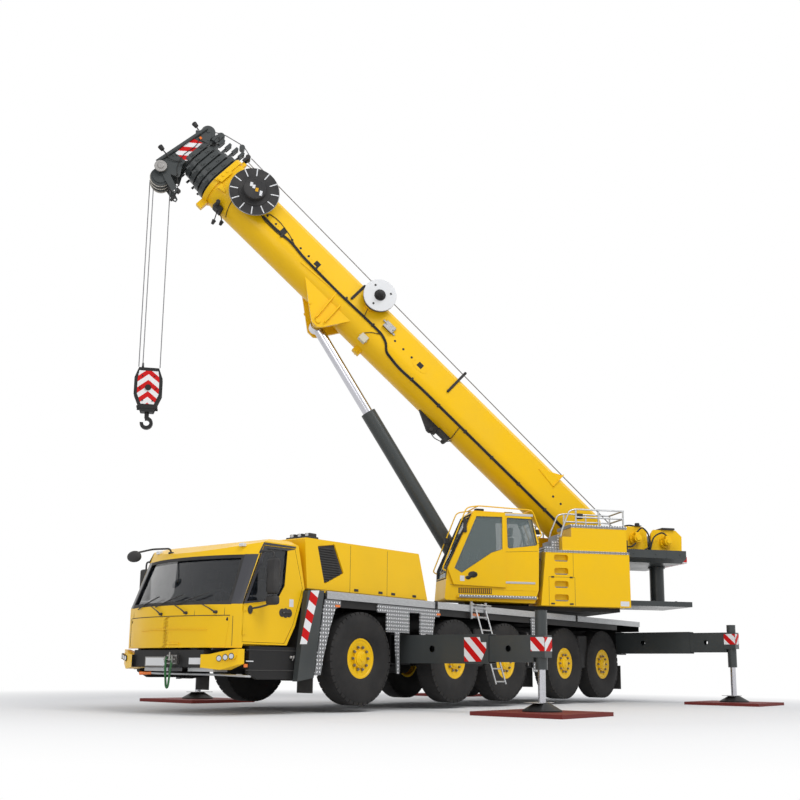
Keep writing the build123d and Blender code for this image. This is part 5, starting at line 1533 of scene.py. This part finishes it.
# ---------- camera, floor and lamps ----------
IMAGE_SIDE = 800
FOCAL_LENGTH = 992.25 / IMAGE_SIDE
CAMERA_PLACE = (11.917, 11.595, 0.659)
CAMERA_HEADING, CAMERA_PITCH, CAMERA_ROLL = 0.674, 0.179, 0.011
HORIZON_SHIFT = 90 / IMAGE_SIDE
SENSOR = 36


def look():
    """Camera close to the ground, ahead of the driver's cab on the left."""
    camera = bpy.data.cameras.new("camera")
    camera.sensor_width = SENSOR
    camera.lens = FOCAL_LENGTH * SENSOR
    camera.shift_y = HORIZON_SHIFT
    camera.clip_end = 500
    eye = bpy.data.objects.new("camera", camera)
    bpy.context.scene.collection.objects.link(eye)
    level = -cos(CAMERA_PITCH)
    forward = Vector((level * cos(CAMERA_HEADING), level * sin(CAMERA_HEADING), sin(CAMERA_PITCH)))
    turn = forward.to_track_quat("-Z", "Y").to_matrix().to_4x4()
    turn = turn @ Matrix.Rotation(CAMERA_ROLL, 4, "Z")
    eye.matrix_world = CARRIER @ Matrix.Translation(CAMERA_PLACE) @ turn
    bpy.context.scene.camera = eye


def lamp(name, spot, aim, size, power):
    """Square soft lamp aimed at a point."""
    light = bpy.data.lights.new(name, "AREA")
    light.size = size
    light.energy = power
    made = bpy.data.objects.new(name, light)
    bpy.context.scene.collection.objects.link(made)
    turn = (Vector(aim) - Vector(spot)).to_track_quat("-Z", "Y").to_matrix().to_4x4()
    made.matrix_world = Matrix.Translation(spot) @ turn


WHITE = (1, 1, 1, 1)


def seen_as_white(owner):
    """Share that is 1 for what the camera sees straight, in a reflection or through glass."""
    ray = node(owner, "LightPath").outputs
    straight = node(owner, "Math", operation="MAXIMUM", i0=ray["Is Camera Ray"],
                    i1=ray["Is Glossy Ray"]).outputs[0]
    return node(owner, "Math", operation="MAXIMUM", i0=straight, i1=ray["Is Transmission Ray"]).outputs[0]


def pale_world():
    """Soft even light from a world that is seen as white."""
    world = bpy.data.worlds.new("studio")
    bpy.context.scene.world = world
    world.use_nodes = True
    tree = world.node_tree
    light = tree.nodes["Background"]
    light.inputs["Color"].default_value = (0.93, 0.95, 1.0, 1)
    light.inputs["Strength"].default_value = 0.58
    white = node(world, "Background", Color=WHITE, Strength=1.0)
    mix = node(world, "MixShader", i0=seen_as_white(world), i1=light.outputs[0], i2=white.outputs[0])
    tree.links.new(mix.outputs[0], tree.nodes["World Output"].inputs[0])


def pale_floor():
    """Floor that keeps the machine's shadow and fades to white further out."""
    bm = bmesh.new()
    bmesh.ops.create_circle(bm, cap_ends=True, segments=64, radius=120)
    mesh = bpy.data.meshes.new("floor")
    bm.to_mesh(mesh)
    bm.free()
    floor = bpy.data.objects.new("floor", mesh)
    bpy.context.scene.collection.objects.link(floor)
    ground = new_material("floor_white", (0.8, 0.8, 0.8), 0.9)
    tree = ground.node_tree
    reach = node(ground, "VectorMath", operation="LENGTH", i0=place(ground)).outputs["Value"]
    fade = node(ground, "MapRange", i0=reach, i1=7.0, i2=13.0, i3=0.0, i4=1.0).outputs[0]
    share = node(ground, "Math", operation="MULTIPLY", i0=fade, i1=seen_as_white(ground)).outputs[0]
    white = node(ground, "Emission", Strength=1.0, Color=WHITE)
    mix = node(ground, "MixShader", i0=share, i1=tree.nodes["Principled BSDF"].outputs[0],
               i2=white.outputs[0])
    tree.links.new(mix.outputs[0], tree.nodes["Material Output"].inputs["Surface"])
    mesh.materials.append(ground)


look()
pale_world()
pale_floor()
bpy.context.scene.view_settings.view_transform = "Standard"
lamp("sky_lamp", (4, 15, 22), (0, 0, 3), 14, 3000)
lamp("front_lamp", (20, 6, 9), (0, 0, 3), 10, 600)
